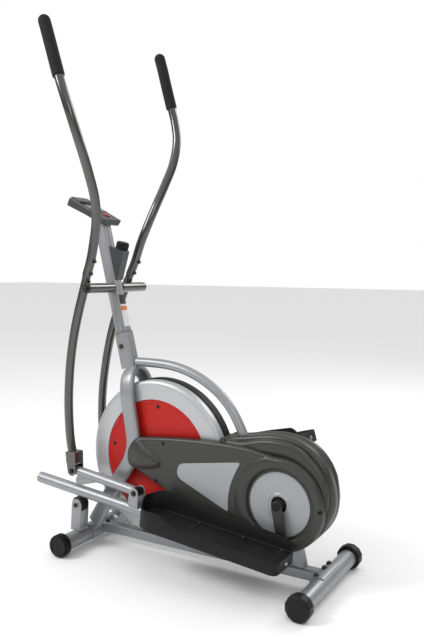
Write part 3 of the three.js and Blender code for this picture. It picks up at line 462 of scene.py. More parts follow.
for name, z0, z1, count, oval, material, replaces in MAST_TUBES:
    line = np.linspace(mast_point(z0), mast_point(z1), count)
    swept(name, line, oval_section(*oval), material, "frame", replaces)
for name, z0, z1, lift, dark, light, rough in LABELS:
    paper = finish(LABEL_PAPER[name], dark, light, rough, fineness=300, bump=0.02, dust=0.05)
    width = np.linspace(-1, 1, 17) * LABEL_SHARE
    back = MAST_HALF[1] * (1 - abs(width) ** 3.0) ** (1 / 3.0) + lift
    grid = np.stack([np.stack([mast_point(z, b, MAST_HALF[0] * w) for w, b in zip(width, back)])
                     for z in np.linspace(z0, z1, 6)])
    under = (grid - LABEL_THICK * mast_back)[:, ::-1]
    piece(name, np.concatenate([grid, under], 1).reshape(-1, 3), ring_faces(6, 34), paper, "frame")
for spot, z in (("low", 600), ("high", 654)):
    bolt(f"mast_front_bolt_{spot}", mast_point(z, -27), -mast_back, 6)
bolt("mast_lock_button", mast_point(690, 8, -18.6), (0, -1, 0), 4.5, material=bare_steel)

# ---- Handlebars --------------------------------------------------------------------------
# Each side is a bent lower tube welded to a sleeve that turns on the cross axle, and an
# upper tube slipped over it, held by two clamp bolts. Both have dark metallic paint.
graphite = finish("graphite_paint", (0.065, 0.066, 0.062), (0.11, 0.111, 0.105), (0.2, 0.28), metallic=0.85,
                  fineness=1500, bump=0.05, coat=0.7, coat_rough=0.07, dust=0.02)
PIVOT, LIMB_Y, BAR_R = (-250.4, 819.3), 105.0, 14.0
LOWER_BAR = [(-31, 26), (-45, -12), (-67, -72), (-90, -146), (-107, -222), (-117, -290), (-123, -355),
             (-124, -420), (-121, -480), (-113, -528)]
UPPER_BAR = [(-27, 107, 40), (-9, 108, 82), (9, 110, 141), (28, 119, 201), (42, 138, 261), (51, 172, 331),
             (56, 212, 411), (49, 239, 491), (34, 246, 551), (18, 246, 601), (-2, 243, 665), (-20, 241, 722)]
WELD_STUB = [(-13, LIMB_Y, 2), (-26, LIMB_Y, 2), (-39, LIMB_Y, 2)]
BAR_NECK = [(-33, 106, 20), (-29, 106.8, 34), (-24, 107.2, 47)]
SLEEVE = [(10.4, 21), (14.6, 21), (15.5, 22), (15.5, 140), (14.6, 141), (10.4, 141), (10.4, 21)]
BUSH = [(10.4, 140.2), (13.6, 140.2), (13.6, 141.6), (10.4, 141.6), (10.4, 140.2)]
CLAMP_WAY = np.array([0.94, 0, -0.34])
CLAMPS = {"low": (-23, 107.3, 50), "high": (-7, 108, 86)}
LEVER_TURN = {"left": -2.623, "right": 2.623}
FOOT_X, FOOT_Z = -106.8, -568.1
CHEEK_IN, CHEEK_OUT, PIN_R = 16.5, 19.5, 6.4


def put(points, origin, degrees, sign=1):
    """Points (x, distance from the middle, z) of a limb drawn upright, turned by degrees about Y at origin
    (x, z): X is x cos + z sin and Z is z cos - x sin, and the distance from the middle becomes Y on the
    limb's own side."""
    x, y, z = np.asarray(points, float).T
    c, s = math.cos(math.radians(degrees)), math.sin(math.radians(degrees))
    return np.stack([origin[0] + x * c + z * s, sign * y, origin[1] - x * s + z * c], -1)


def plate(name, outline, y0, y1, material, body, place=np.asarray, replaces=(), width=0.8, segments=2):
    """A flat outline of (x, z) points given thickness from y0 to y1 and then placed, its edges bevelled."""
    o = np.asarray(outline, float)
    n = len(o)
    verts = np.concatenate([np.stack([o[:, 0], np.full(n, y), o[:, 1]], -1) for y in (y0, y1)])
    sides = [[i, (i + 1) % n, (i + 1) % n + n, i + n] for i in range(n)]
    faces = [list(range(n)), list(range(n, 2 * n))[::-1]] + sides
    soften_edges(piece(name, place(verts), faces, material, body, replaces), width, segments)


def arc(x, z, r, start, end, count=14):
    """Points of a circular arc, in degrees, both ends included."""
    t = np.radians(np.linspace(start, end, count))
    return np.stack([x + r * np.cos(t), z + r * np.sin(t)], -1)


def fork(cheek, pin, outline, eye, seat, sign, material, body):
    """The two cheeks of a fork, on either side of the limb's middle, and the bolt head and nut of its pin."""
    for wall, way in (("inner", -1), ("outer", 1)):
        y0, y1 = sorted((LIMB_Y + way * CHEEK_IN, LIMB_Y + way * CHEEK_OUT))
        plate(f"{cheek}_{wall}", outline, y0, y1, material, body, seat)
        middle = seat([(eye[0], LIMB_Y + way * CHEEK_OUT, eye[1])])[0]
        bolt(f"{pin}_{wall}", middle, (0, sign * way, 0), PIN_R, body, wall == "inner")


top = FOOT_Z + 55
foot_cheek = np.concatenate([arc(FOOT_X, FOOT_Z, 16, 187, 353, 18), arc(FOOT_X + 13, top, 5, -5, 90, 7),
                             arc(FOOT_X - 17, top, 5, 90, 185, 7)])
crown = np.concatenate([[(FOOT_X - 20.6, FOOT_Z + 24), (FOOT_X + 16.6, FOOT_Z + 24)],
                        arc(FOOT_X + 12.6, top, 4.6, -5, 90, 7), arc(FOOT_X - 16.6, top, 4.6, 90, 185, 7)])
for side, sign in SIDES.items():
    body = f"{side}_handle"
    seat = partial(put, origin=PIVOT, degrees=LEVER_TURN[side], sign=sign)
    turned(f"{side}_pivot_sleeve", SLEEVE, PIVOT, graphite, body, (), 64, corner=0.5, sign=sign)
    turned(f"{side}_sleeve_bush", BUSH, PIVOT, black_plastic, body, (), 48, corner=0.2, sign=sign)
    for name, path, count, radius, replaces in (
            ("sleeve_weld", WELD_STUB, 8, 11, ()),
            ("lower_bar", [(x, LIMB_Y, z) for x, z in LOWER_BAR], 90, BAR_R, [f"{side}_lower_handlebar"]),
            ("bar_neck", BAR_NECK, 8, 12.6, ()),
            ("upper_bar", UPPER_BAR, 120, BAR_R, [f"{side}_upper_handlebar"])):
        swept(f"{side}_{name}", curve_through(seat(path), count), round_section(radius), graphite, body, replaces)
    for spot, place in CLAMPS.items():
        centre = seat([place])[0]
        bolt(f"{side}_clamp_nut_{spot}", centre + CLAMP_WAY * 12.8, CLAMP_WAY, 5.6, body, True)
        bolt(f"{side}_clamp_end_{spot}", centre + CLAMP_WAY * 17.4, CLAMP_WAY, 3.6, body)
    # The forked foot that straddles the link rod.
    fork(f"{side}_fork_foot", f"{side}_fork_pin", foot_cheek, (FOOT_X, FOOT_Z), seat, sign, graphite, body)
    plate(f"{side}_fork_crown", crown, LIMB_Y - CHEEK_OUT + 0.2, LIMB_Y + CHEEK_OUT - 0.2, graphite, body, seat)
    bolt(f"{side}_axle_screw", (PIVOT[0], sign * 146.4, PIVOT[1]), (0, sign, 0), 5, "frame", True)

# ---- Grips -------------------------------------------------------------------------------
# Black foam sleeves with a closed skin, glued over the top of the upper tubes, with a rounded end cap; the
# lower end is drawn in a little.
foam = finish("grip_foam", (0.008, 0.008, 0.009), (0.024, 0.024, 0.026), (0.78, 0.92), fineness=2600, mottle=0.15,
              bump=0.5, dust=0.05, relief=0.0005, specular=0.25)
GRIP_PATH = [(19, 246, 597), (-2, 243, 665), (-22, 240.5, 731), (-38.5, 238, 780.6)]
GRIP_R, GRIP_LONG, GRIP_DOME = 18, 186, 18
grip_run = np.linspace(0, GRIP_LONG, 110)
in_dome = np.clip((grip_run - (GRIP_LONG - GRIP_DOME)) / GRIP_DOME, 0, 1)
grip_width = np.sqrt(np.clip(1 - in_dome ** 2, 0.0005, 1)) * (1 - 0.16 * np.exp(-grip_run / 1.6))
for side, sign in SIDES.items():
    line = curve_through(put(GRIP_PATH, PIVOT, LEVER_TURN[side], sign), 110)
    swept(f"{side}_grip_foam", line, round_section(GRIP_R, 48), foam, f"{side}_handle", [f"{side}_grip"],
          grip_width)

# ---- Link rods ---------------------------------------------------------------------------
# Short silver tubes that carry each handlebar's swing to its foot beam, with an eye and
# a pin at each end.
RODS = {"left": ((-331.06, 246.96), 7.627), "right": ((-383.05, 256.73), -7.782)}
ROD_R, ROD_TUBE, ROD_LONG, EYE_IN, EYE_OUT = 15, (8, 121, 234), 242, LIMB_Y - 15.5, LIMB_Y + 15.5
EYE = [(5.3, EYE_IN), (13, EYE_IN), (13, EYE_OUT), (5.3, EYE_OUT), (5.3, EYE_IN)]
from_end = np.minimum(np.linspace(0, 226, 60), np.linspace(226, 0, 60))
for side, sign in SIDES.items():
    seat = partial(put, origin=RODS[side][0], degrees=RODS[side][1], sign=sign)
    body = f"{side}_link"
    rod = curve_through(seat([(x, LIMB_Y, 0) for x in ROD_TUBE]), 60)
    swept(f"{side}_rod_tube", rod, round_section(ROD_R, 48), silver, body, [f"{side}_link_rod"],
          0.9 + 0.1 * np.clip(from_end / 5, 0, 1) ** 0.5)
    for spot, x in (("front", 0), ("rear", ROD_LONG)):
        middle = seat([(x, LIMB_Y, 0)])[0]
        turned(f"{side}_rod_eye_{spot}", EYE, (middle[0], middle[2]), black_plastic, body, (), 48, corner=1.0,
               sign=sign)

# ---- Foot beams --------------------------------------------------------------------------
# Round silver tubes. The rear end turns on the crank pin, a forked bracket in the middle
# takes the link rod, and the front end, closed by a black plug, rides on a roller.
BEAMS = {"left": ((374.69, 112.18), 5.928), "right": ((327.31, 367.82), -15.949)}
BEAM_R, BEAM_FRONT, EYE_X, EYE_Z = 17.5, -859.0, -474.0, 54.0
HUB = [(0, 87), (12, 87), (20, 87), (20, 123), (14, 123), (13, 121.6), (0, 121.6)]
CRANK_PIN = [(0, 81.2), (7, 81.2), (7, 88), (0, 88)]
BRACKET_HALF, BRACKET_FOOT, BRACKET_BASE = 18, 13, (13.5, 20)
beam_cheek = np.concatenate([[(EYE_X - BRACKET_HALF, BRACKET_FOOT), (EYE_X + BRACKET_HALF, BRACKET_FOOT)],
                             arc(EYE_X, EYE_Z, 16, 0, 180, 22)])
low, high = BRACKET_BASE
beam_base = [(EYE_X - BRACKET_HALF, low), (EYE_X + BRACKET_HALF, low), (EYE_X + BRACKET_HALF, high),
             (EYE_X - BRACKET_HALF, high)]
for side, sign in SIDES.items():
    pin, tilt = BEAMS[side]
    body = f"{side}_pedal"
    seat = partial(put, origin=pin, degrees=tilt, sign=sign)
    line = curve_through(seat([(x, LIMB_Y, 0) for x in (BEAM_FRONT + 1, -400, 16)]), 60)
    swept(f"{side}_beam_tube", line, round_section(BEAM_R, 56), silver, body, [f"{side}_foot_beam"])
    plug = curve_through(seat([(BEAM_FRONT + x, LIMB_Y, 0) for x in (-0.2, 2, 4)]), 6)
    swept(f"{side}_beam_plug", plug, round_section(16.4, 48), black_plastic, body, (), [0.92, 1, 1, 1, 1, 1])
    turned(f"{side}_beam_hub", HUB, pin, silver, body, (), 72, corner=1.2, sign=sign)
    turned(f"{side}_crank_pin", CRANK_PIN, pin, bare_steel, body, (), 40, corner=0.4, sign=sign)
    bolt(f"{side}_hub_bolt", (pin[0], sign * 121.4, pin[1]), (0, sign, 0), 8, body)
    plate(f"{side}_beam_fork_base", beam_base, LIMB_Y - CHEEK_IN - 0.5, LIMB_Y + CHEEK_IN + 0.5, silver, body,
          seat)
    fork(f"{side}_beam_fork", f"{side}_beam_fork_pin", beam_cheek, (EYE_X, EYE_Z), seat, sign, silver, body)

# ---- Foot trays --------------------------------------------------------------------------
# Black moulded trays screwed along the outside of each beam: a high inner wall and toe,
# a low outer wall with a rounded rim, and a floor with raised slanting ribs.
TRAY_IN, TRAY_OUT, TRAY_REAR, TRAY_FRONT, TRAY_MID, TRAY_TOE = 86.0, 198.0, 34.0, -418.0, 142, -348
FLOOR_TOP, FLOOR_UNDER, RIB_HIGH, RIB_PITCH, RIB_SLANT = 19.8, 18.0, 1.9, 13, 0.95
INNER_TOP = [(-428, 82), (-350, 80), (-330, 70), (-300, 62), (-60, 58), (12, 54), (28, 30), (44, 24)]
OUTER_TOP = [(-428, 44), (-360, 50), (-338, 52), (-310, 42), (-280, 28), (-255, 25), (44, 26)]
TOE_TOP = [(-428, 70), (-372, 80), (-352, 72), (-340, 25), (44, 25)]
# The wall's section, from under the floor up the outside, over the rim and down inside: how far in from
# the plan, and either the distance from the wall's top or a height of its own.
RIM = [(4.0, None, -8), (0.8, None, -8), (0, None, -7.2), (0, -1.6, None), (0.4, -0.5, None), (1.2, 0, None),
       (2.3, 0, None), (3.1, -0.5, None), (3.5, -1.6, None), (3.5, None, 26), (4.2, None, 22), (6.5, None, 20.4),
       (6.5, None, 17.5), (3.5, None, 17.5)]


def bend(start, knee, end, count=24):
    """A quadratic curve from start to end, drawn towards knee."""
    t = np.linspace(0, 1, count)[:, None]
    return (1 - t) ** 2 * np.array(start) + 2 * t * (1 - t) * np.array(knee) + t ** 2 * np.array(end)


def evenly_round(points, count):
    """count points evenly spaced round a closed line."""
    p = np.vstack([points, points[:1]])
    run = np.concatenate([[0], np.cumsum(np.linalg.norm(np.diff(p, axis=0), axis=1))])
    even = np.linspace(0, run[-1], count, endpoint=False)
    return np.stack([np.interp(even, run, p[:, k]) for k in range(2)], -1)


def relaxed(values, times):
    """Values round a closed line, drawn halfway to the mean of their neighbours that many times."""
    for _ in range(times):
        values = (np.roll(values, 1, 0) + 2 * values + np.roll(values, -1, 0)) / 4
    return values


def outward(outline):
    """Unit vectors square to a closed outline, pointing away from its inside."""
    x, z = outline.T
    along = np.roll(outline, -1, 0) - np.roll(outline, 1, 0)
    square = np.stack([along[:, 1], -along[:, 0]], -1)
    square /= np.linalg.norm(square, axis=1)[:, None]
    area = np.sum(x * np.roll(z, -1) - np.roll(x, -1) * z)
    return square if area > 0 else -square


def eased(value, low, high):
    """0 below low, 1 above high, and an even S-curve between."""
    t = np.clip((value - low) / (high - low), 0, 1)
    return t * t * (3 - 2 * t)


def read_line(points, x):
    """The height of a broken line at x."""
    return np.interp(x, *np.array(points, float).T)


tray_plan = evenly_round(np.concatenate([
    [(TRAY_REAR, TRAY_MID)],
    bend((TRAY_REAR, 97), (TRAY_REAR, TRAY_IN), (TRAY_REAR - 11, TRAY_IN)),
    bend((TRAY_TOE, TRAY_IN), (TRAY_FRONT, TRAY_IN), (TRAY_FRONT, TRAY_MID)),
    bend((TRAY_FRONT, TRAY_MID), (TRAY_FRONT, TRAY_OUT), (TRAY_TOE, TRAY_OUT)),
    bend((TRAY_REAR - 22, TRAY_OUT), (TRAY_REAR, TRAY_OUT), (TRAY_REAR, TRAY_OUT - 22))]), 300)
tray_away = outward(tray_plan)
plan_x, plan_y = tray_plan.T
to_outer, to_middle = eased(plan_y, 150, 178), eased(plan_y, 88, 112)
tray_top = relaxed(read_line(INNER_TOP, plan_x) * (1 - to_middle)
                   + read_line(TOE_TOP, plan_x) * to_middle * (1 - to_outer)
                   + read_line(OUTER_TOP, plan_x) * to_outer, 6)
tray_rings = []
for inset, below, height in RIM:
    ring_z = tray_top + below if height is None else np.minimum(height, tray_top - 1.8)
    flat = tray_plan - inset * tray_away
    tray_rings.append(np.stack([flat[:, 0], flat[:, 1], ring_z], -1))
floor_x = np.linspace(TRAY_FRONT + 3.6, TRAY_REAR - 3.6, 230)
inside = tray_plan - 3.4 * tray_away
inside = inside[np.argsort(inside[:, 0], kind="stable")]
low_y, high_y = (np.interp(floor_x, *inside[half].T)[:, None]
                 for half in (inside[:, 1] < TRAY_MID, inside[:, 1] >= TRAY_MID))
share = np.linspace(0, 1, 60)[None, :]
grid_y = low_y * (1 - share) + high_y * share
grid_x = np.repeat(floor_x[:, None], 60, 1)
from_wall = np.minimum.reduce([grid_y - low_y, high_y - grid_y, grid_x - floor_x[0], floor_x[-1] - grid_x])
margin = eased(from_wall, 7, 11)
rib = (0.5 + 0.5 * np.cos(2 * math.pi * (grid_x + RIB_SLANT * (grid_y - TRAY_MID)) / RIB_PITCH)) ** 1.5
floor_top = np.stack([grid_x, grid_y, FLOOR_TOP + RIB_HIGH * rib * margin], -1)
floor_under = np.stack([grid_x, grid_y, np.full_like(grid_x, FLOOR_UNDER)], -1)[:, ::-1]
tray_floor = np.concatenate([floor_top, floor_under], 1).reshape(-1, 3)
for side, sign in SIDES.items():
    body = f"{side}_pedal"
    seat = partial(put, origin=BEAMS[side][0], degrees=BEAMS[side][1], sign=sign)
    piece(f"{side}_tray_wall", seat(np.concatenate(tray_rings)), ring_faces(len(RIM), len(tray_plan), True),
          black_plastic, body, [f"{side}_foot_tray"], 30)
    piece(f"{side}_tray_floor", seat(tray_floor), ring_faces(len(floor_x), 120), black_plastic, body, (), 50)
    for spot, place, way, radius, material in (("bolt_front", (-250, 105, 21.6), (0, 0, 1), 5.5, black_paint),
                                               ("bolt_rear", (-110, 105, 21.6), (0, 0, 1), 5.5, black_paint),
                                               ("end_bolt", (TRAY_REAR, 142, 9), (1, 0, 0), 4.5, bare_steel)):
        foot, tip = seat([place, np.add(place, way)])
        bolt(f"{side}_tray_{spot}", foot, tip - foot, radius, body, material=material)

# ---- Rollers -----------------------------------------------------------------------------
# Black hard-plastic rollers in forked brackets welded on the front stabiliser; the beams
# rest on them and slide to and fro. A bolt head and a nut hold each axle.
ROLLER = (-312.5, 141.5)
ROLLER_SHAPE = [(5.4, 91), (21, 91), (24, 94), (24, 116), (21, 119), (9, 119), (9, 117.5), (5.4, 117.5), (5.4, 91)]
for side, sign in SIDES.items():
    turned(f"{side}_beam_roller", ROLLER_SHAPE, ROLLER, black_plastic, f"{side}_roller", [f"{side}_roller"], 96,
           corner=1.5, sign=sign)
    for wall, y, way in (("inner", 83, -1), ("outer", 127, 1)):
        bolt(f"{side}_roller_bolt_{wall}", (ROLLER[0], sign * y, ROLLER[1]), (0, sign * way, 0), 5.6, "frame",
             wall == "inner")

# ---- Flywheel ----------------------------------------------------------------------------
# A black iron wheel with a bright moulded ring at each face and a red disc inside it,
# turning on a plain axle in the fork; the pulley for the belt is on its left.
black_iron = finish("black_iron", (0.003, 0.003, 0.003), (0.009, 0.009, 0.009), (0.42, 0.58), fineness=700,
                    bump=0.15, dust=0.01, specular=0.2)
silver_ring = finish("silver_plastic", (0.44, 0.45, 0.46), (0.5, 0.51, 0.52), (0.36, 0.42), metallic=0.4,
                     fineness=1800, mottle=0.3, bump=0.02, dust=0.02, coat=0.1, coat_rough=0.2)
red_disc = finish("red_plastic", (0.38, 0.006, 0.003), (0.48, 0.010, 0.005), (0.34, 0.44), fineness=1200,
                  mottle=0.4, bump=0.05, dust=0.02, specular=0.3)
rubber = finish("belt_rubber", (0.012, 0.012, 0.012), (0.02, 0.02, 0.02), (0.6, 0.75), fineness=1400, bump=0.2)
WHEEL = (-73.5, 302.0)
CORE = [(8.4, -30), (20, -30), (20, 9), (225, 9), (225, -4), (243, -4), (243, 26), (225, 26), (225, 12), (20, 12),
        (20, 36), (8.4, 36), (8.4, -30)]
TRIM = {"left": [(181.6, 31.5), (181.6, 36), (188, 36), (214, 36), (225, 36), (232, 34.6), (237, 31.2), (240, 27),
                 (240, 4.6), (237, 4.6), (233, 30), (181.6, 31.5)],
        "right": [(181.6, 31.5), (181.6, 36), (225, 36), (235, 33), (240, 27.4), (240, 26.6), (237, 26.6),
                  (233, 30), (181.6, 31.5)]}
INSET = [(21, 29.5), (21, 32), (60, 32), (167, 32), (168.6, 32.4), (170, 34), (181, 34), (181, 29.5), (21, 29.5)]
SCREW_ANGLES, SCREW_RING = (88, 170, 260, 350), 160
turned("flywheel_iron", CORE, WHEEL, black_iron, "flywheel", ["flywheel_core"], 192)
for side, sign in SIDES.items():
    for name, profile, material, node_name, corner in (("ring", TRIM[side], silver_ring, "trim", 1.2),
                                                       ("disc", INSET, red_disc, "inset", 0.6)):
        turned(f"flywheel_{side}_{name}", profile, WHEEL, material, "flywheel", [f"flywheel_{side}_{node_name}"],
               256, corner=corner, sharp=28, sign=sign)
    for number, degrees in enumerate(SCREW_ANGLES):
        x, z = arc(*WHEEL, SCREW_RING, degrees, degrees, 1)[0]
        bolt(f"flywheel_{side}_screw_{number}", (x, sign * 31.9, z), (0, sign, 0), 4.2, "flywheel")
    bolt(f"{side}_wheel_nut", (WHEEL[0], sign * 60, WHEEL[1]), (0, sign, 0), 8, "frame", True, bare_steel)
dressed("brake_shoe", black_paint, "frame", 0.5)
dressed("flywheel_pulley", black_iron, "flywheel", 0.4)
dressed("drive_pulley", black_plastic, "crank", 0.4)
dressed("drive_belt", rubber, "frame", 0)

# ---- Covers ------------------------------------------------------------------------------
# Satin dark warm-grey mouldings in two halves that meet on the middle plane. Each has a
# drum with a sunk well for the crank, a long nose over the fork leg, and a stepped back.
cover = finish("cover_plastic", (0.034, 0.0335, 0.031), (0.052, 0.0515, 0.048), (0.3, 0.42), metallic=0.25,
               fineness=1700, mottle=0.35, bump=0.14, dust=0.03, specular=0.45)
pale = finish("pale_plastic", (0.30, 0.315, 0.325), (0.36, 0.375, 0.385), (0.3, 0.42), metallic=0.3, fineness=1500,
              mottle=0.3, bump=0.06, dust=0.06)
# The screws' own black, made darker and duller as painted shade that stands in for the shadow inside their recessed
# holes.
screw_hole_painted_shade = finish("screw_hole_painted_shade", (0.003, 0.003, 0.003), (0.008, 0.008, 0.008), (0.5, 0.65), bump=0.1, dust=0.0,
                     specular=0.15)
CRANK, DRUM_R, FACE_Y, FACE_EDGE, SPLIT_Y = np.array([351.0, 240.0]), 131.0, 66.0, 9, 39.2
COVER_WALL, HOLLOW_R, FACE_STEPS, LAYER_STEPS = 2.0, 250.5, 720, 520
# The two steps of the back, as degrees round the crank and radii, with their outer and inner planes.
BLADE = [(-106, 130), (-58, 130), (-20, 130.5), (-4, 131), (6, 137), (30, 150), (43, 154), (56, 158), (68, 164),
         (80, 169), (92, 173), (107, 180), (129, 200)]
CREST = [(-106, 131), (-58, 131), (-40, 132), (-18, 137), (0, 145), (14, 150), (27, 156), (42, 165), (58, 174),
         (69, 178), (79, 180), (94, 184), (108, 190), (124, 206)]
LAYERS = (("blade", BLADE, 52, 32), ("crest", CREST, 34, 0.25))
NOSE_TIP, NOSE_WAY, NOSE_HIGH = (-156, 322), (0.984, 0.179), 13.5
WELL_RIM = ((97.5, 55), (97.5, 62), (98.0, 65))
RING_FOOT, RING_WIDE, RING_HIGH = 99, 34, 4.5
WELL = [(22.6, 53.5), (22.6, 57), (60, 57), (93, 57), (96.5, 57), (97.4, 60), (97.4, 54), (60, 53.5), (22.6, 53.5)]
DISC = [(23, 57.5), (23, 61.2), (26, 62.2), (30, 62), (33, 59.2), (50, 58.7), (86, 58.7), (90, 57.9), (90, 57.3),
        (23, 57.3), (23, 57.5)]
CRANK_CAP = [(0, 79.6), (11.5, 79.6), (11.5, 82), (9.5, 83.4), (0, 83.4)]
SCREWS = ((-26, 362), (-51, 246), (473, 243))
face_outline = relaxed(evenly_round(np.concatenate([
    bend((-158, 292), (-152, 274), (-138, 272), 8), [(40, 196)], [(CRANK[0] - 60, 123)],
    arc(*CRANK, DRUM_R, -106, 96, 90), [(261, 383)], bend((261, 383), (150, 394), (-40, 377), 30), [(-124, 368)],
    bend((-124, 368), (-150, 350), (-158, 320), 12)]), FACE_STEPS), 10)
panel_outline = np.concatenate([
    bend((228, 341), (234, 340), (231, 333), 8), bend((231, 333), (190, 262), (197, 203), 30),
    bend((197, 203), (196, 194), (188, 198), 8), bend((40, 262), (20, 274), (27, 294), 16),
    bend((27, 294), (30, 309), (46, 312), 10)])


def layer_outline(radii):
    """A step's outline: a smooth run of radii round the crank, a slope to the front, and the wheel's hollow."""
    angle, radius = np.radians([r[0] for r in radii]), np.array([r[1] for r in radii], float)
    flat = np.stack([CRANK[0] + radius * np.cos(angle), CRANK[1] + radius * np.sin(angle), 0 * angle], -1)
    hollow = arc(*WHEEL, HOLLOW_R, 22.4, -33.6, 40)
    return evenly_round(np.concatenate([curve_through(flat, 160)[:, :2], hollow]), LAYER_STEPS)


def upright(flat, y, sign):
    """A ring of (x, z) points stood at distance y from the middle, on that sign's side."""
    return np.stack([flat[:, 0], sign * (np.zeros(len(flat)) + y), flat[:, 1]], -1)


def moulding(name, rings, sign, replaces=(), sharp=30):
    """A moulding through closed rings, given from its middle to its edge. The wall gets its thickness inward."""
    mesh = bpy.data.meshes.new(name)
    faces = ring_faces(len(rings), len(rings[0]))
    if sign > 0:
        faces = [face[::-1] for face in faces]
    mesh.from_pydata((np.concatenate(rings) * MM).tolist(), [], faces)
    wall = finished(name, mesh, cover, "frame", replaces, sharp).modifiers.new("wall", "SOLIDIFY")
    wall.thickness = COVER_WALL * MM
    wall.offset = -1


def face_relief(x, z):
    """Millimetres the face stands proud. The nose carries half a blunt cone, widest at the front and closing to
    a rounded tip towards the crank: its height is an even arch across the cone, times a fall at the tip.
    Round the well runs a rounded ring, an arch of the distance from the crank."""
    along = (x - NOSE_TIP[0]) * NOSE_WAY[0] - (z - NOSE_TIP[1]) * NOSE_WAY[1]
    beside = (x - NOSE_TIP[0]) * NOSE_WAY[1] + (z - NOSE_TIP[1]) * NOSE_WAY[0]
    half_wide = 50 - 0.36 * np.clip(along - 25, 0, 200)
    half_wide = half_wide * np.sqrt(np.clip(1 - np.clip((along - 96) / 27, 0, 0.999) ** 2, 0, 1))
    cone = np.clip(1 - (beside / np.maximum(half_wide, 0.5)) ** 2, 0, 1) ** 0.55
    cone *= (0.45 + 0.55 * eased(along, 0, 60)) * (1 - 0.25 * eased(along, 80, 122)) * (along < 122.5)
    from_crank = np.hypot(x - CRANK[0], z - CRANK[1])
    ring = np.clip(np.sin(math.pi * np.clip((from_crank - RING_FOOT) / RING_WIDE, 0, 1)), 0, 1) ** 0.55
    return NOSE_HIGH * cone + RING_HIGH * ring


def bow(inward, deep):
    """Pairs that carry a wall round its outer edge, a quarter ellipse: how far in from the outline, which falls
    from inward to nothing, and how far below the face, which grows from nothing to deep."""
    return [(inward * (1 - np.sin(a)), deep * (1 - np.cos(a))) for a in np.linspace(0, math.pi / 2, 9)]


face_away = outward(face_outline)
face_rim = face_outline - FACE_EDGE * face_away - CRANK
rim_angle, rim_r = np.arctan2(face_rim[:, 1], face_rim[:, 0]), np.hypot(face_rim[:, 0], face_rim[:, 1])
rim_way = np.stack([np.cos(rim_angle), np.sin(rim_angle)], -1)
for side, sign in SIDES.items():
    # Rows run from the well's rim across the face and round its outer edge.
    rings = [upright(CRANK + r * rim_way, y, sign) for r, y in WELL_RIM]
    for t in np.linspace(0, 1, 64):
        flat = CRANK + (RING_FOOT + (rim_r - RING_FOOT) * t)[:, None] * rim_way
        rings.append(upright(flat, FACE_Y + face_relief(*flat.T), sign))
    for t in np.linspace(0.15, math.pi / 2, 7):
        flat = face_outline - FACE_EDGE * (1 - math.sin(t)) * face_away
        y = FACE_Y - FACE_EDGE * (1 - math.cos(t)) + face_relief(*flat.T) * math.cos(t)
        rings.append(upright(flat, y, sign))
    rings.append(upright(face_outline, SPLIT_Y, sign))
    moulding(f"{side}_cover_face", rings, sign, [f"{side}_chain_cover"], 38)
    for name, radii, top, low in LAYERS:
        outline = layer_outline(radii)
        away = outward(outline)
        proud = np.hypot(*(outline - CRANK).T) - DRUM_R
        low_side = 1 - eased(np.degrees(np.arctan2(*(outline - CRANK).T[::-1])), 8, 34)
        inward = 0.3 + (12 + 4 * low_side) * eased(proud, 0, 16)
        deep = (inward * (1 - low_side) + 24 * low_side) if name == "crest" else inward
        rings = [upright(CRANK + share * (outline - CRANK), top, sign) for share in (0.7, 0.85)]
        rings.append(upright(outline - 17 * away, top, sign))
        rings += [upright(outline - inset[:, None] * away, top - drop, sign) for inset, drop in bow(inward, deep)]
        rings.append(upright(outline, low, sign))
        moulding(f"{side}_cover_{name}", rings, sign)
    turned(f"{side}_cover_well", WELL, CRANK, cover, "frame", (), 160, corner=0.6, sign=sign)
    turned(f"{side}_hub_disc", DISC, CRANK, pale, "frame", [f"{side}_cover_disc"], 160, corner=0.5, sign=sign)
    turned(f"{side}_crank_cap", CRANK_CAP, CRANK, black_plastic, "crank", (), 64, corner=0.6, sign=sign)
    plate(f"{side}_panel", panel_outline, 65.6, 67.5, pale, "frame", partial(np.multiply, (1, sign, 1)),
          [f"{side}_cover_panel"], 0.6)
    # The cover screws use the near-black painted shade that stands in for their recessed holes.
    for number, (x, z) in enumerate(SCREWS, 1):
        y = FACE_Y - 2.6 + face_relief(np.array([x]), np.array([z]))[0]
        bolt(f"{side}_cover_screw_{number}", (x, sign * y, z), (0, sign, 0), 4.8, material=screw_hole_painted_shade)

# ---- Console -----------------------------------------------------------------------------
# A dark wedge-shaped display housing tipped back on the mast, with a plain window under
# a small visor and one oval button.
graphite_plastic = finish("graphite_plastic", (0.03, 0.032, 0.034), (0.05, 0.053, 0.056), (0.28, 0.4),
                          fineness=1500, bump=0.1, dust=0.03)
window_glass = finish("dark_window", (0.006, 0.006, 0.007), (0.012, 0.012, 0.013), (0.04, 0.09), fineness=400,
                      bump=0.0, dust=0.04, coat=1.0)
red_button = finish("red_button", (0.30, 0.04, 0.03), (0.38, 0.06, 0.045), (0.25, 0.35), fineness=1400, bump=0.04,
                    dust=0.04)
TOP_REAR, TOP_FRONT = (-259, 1032), (-404, 1106)
TOP_TILT = math.atan2(TOP_FRONT[1] - TOP_REAR[1], TOP_REAR[0] - TOP_FRONT[0])
BODY = [(-340, 1047.5), (-273, 1014), TOP_REAR, TOP_FRONT, (-417, 1081), (-340, 1047.5)]
GLASS = [(62.5, 0.2), (117, 0.2), (117, 1.2), (62.5, 1.2)]
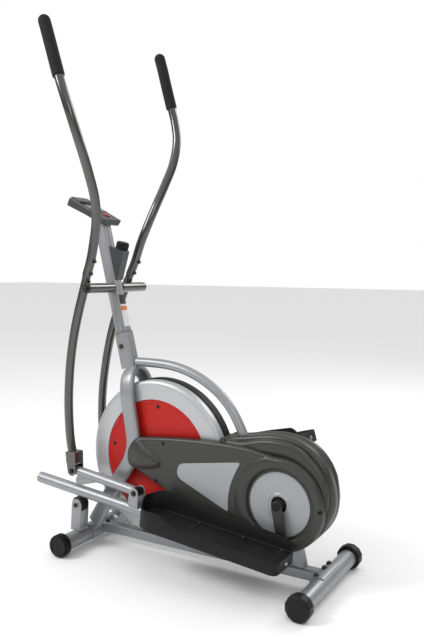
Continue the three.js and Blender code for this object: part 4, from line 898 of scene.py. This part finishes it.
VISOR = [(140, -2), (118, -2), (118, 7), (121, 7), (124, 5), (159, 4), (159, -2), (140, -2)]
BEZELS = {"rear": (59.5, 62.3), "front": (117.2, 119.5)}


def on_console(points):
    """Points (run up from the rear top edge, Y, height over the top face) placed on the tilted top."""
    run, y, lift = np.asarray(points, float).T
    c, s = math.cos(TOP_TILT), math.sin(TOP_TILT)
    return np.stack([TOP_REAR[0] - run * c + lift * s, y, TOP_REAR[1] + run * s + lift * c], -1)


plate("console_body", softened(BODY, 5, 5)[:-1], -41, 41, graphite_plastic, "frame", replaces=["console_housing"],
      width=3.5, segments=4)
plate("console_glass", GLASS, -31.5, 31.5, window_glass, "frame", on_console, ["console_window"], 0.4)
plate("console_visor", softened(VISOR, 1.5)[:-1], -37, 37, graphite_plastic, "frame", on_console, (), 1.5, 3)
for name, (low, high) in BEZELS.items():
    plate(f"console_bezel_{name}", [(low, 0.1), (high, 0.1), (high, 2.2), (low, 2.2)], -34, 34, graphite_plastic,
          "frame", on_console)
dressed("console_button", red_button, "console_button", 1.0)

# ---- Tension control ---------------------------------------------------------------------
# A wedge housing on the back of the mast with a ribbed black knob on its top that sets
# how hard the shoe brakes the wheel.
KNOB_FOOT, KNOB_LEAN, KNOB_RUN = (-238.0, 846.0), 15.0, (-14, 0, 92.3)
KNOB = [(0, 0), (17, 0), (20, 2), (20, 19), (17.5, 23.5), (12, 24), (11, 23), (0, 23)]


def knob_ribs(t, shape):
    """Twenty-four rounded ribs that fade out towards the top face."""
    rim = eased(shape[:, :1], 15, 19)
    return 1 - 0.07 * rim * (0.5 - 0.5 * np.cos(24 * t)) ** 2


dressed("tension_housing", graphite_plastic, "frame", 1.5)
dial = turned("tension_dial", KNOB, (0, 0), black_plastic, "tension_knob", ["tension_knob"], 240, knob_ribs, 1.2)
seated = Matrix.Translation(put([KNOB_RUN], KNOB_FOOT, KNOB_LEAN)[0] * MM)
lean, stand = (Matrix.Rotation(math.radians(angle), 4, axis) for angle, axis in ((KNOB_LEAN, "Y"), (90, "X")))
dial.data.transform(seated @ lean @ stand)
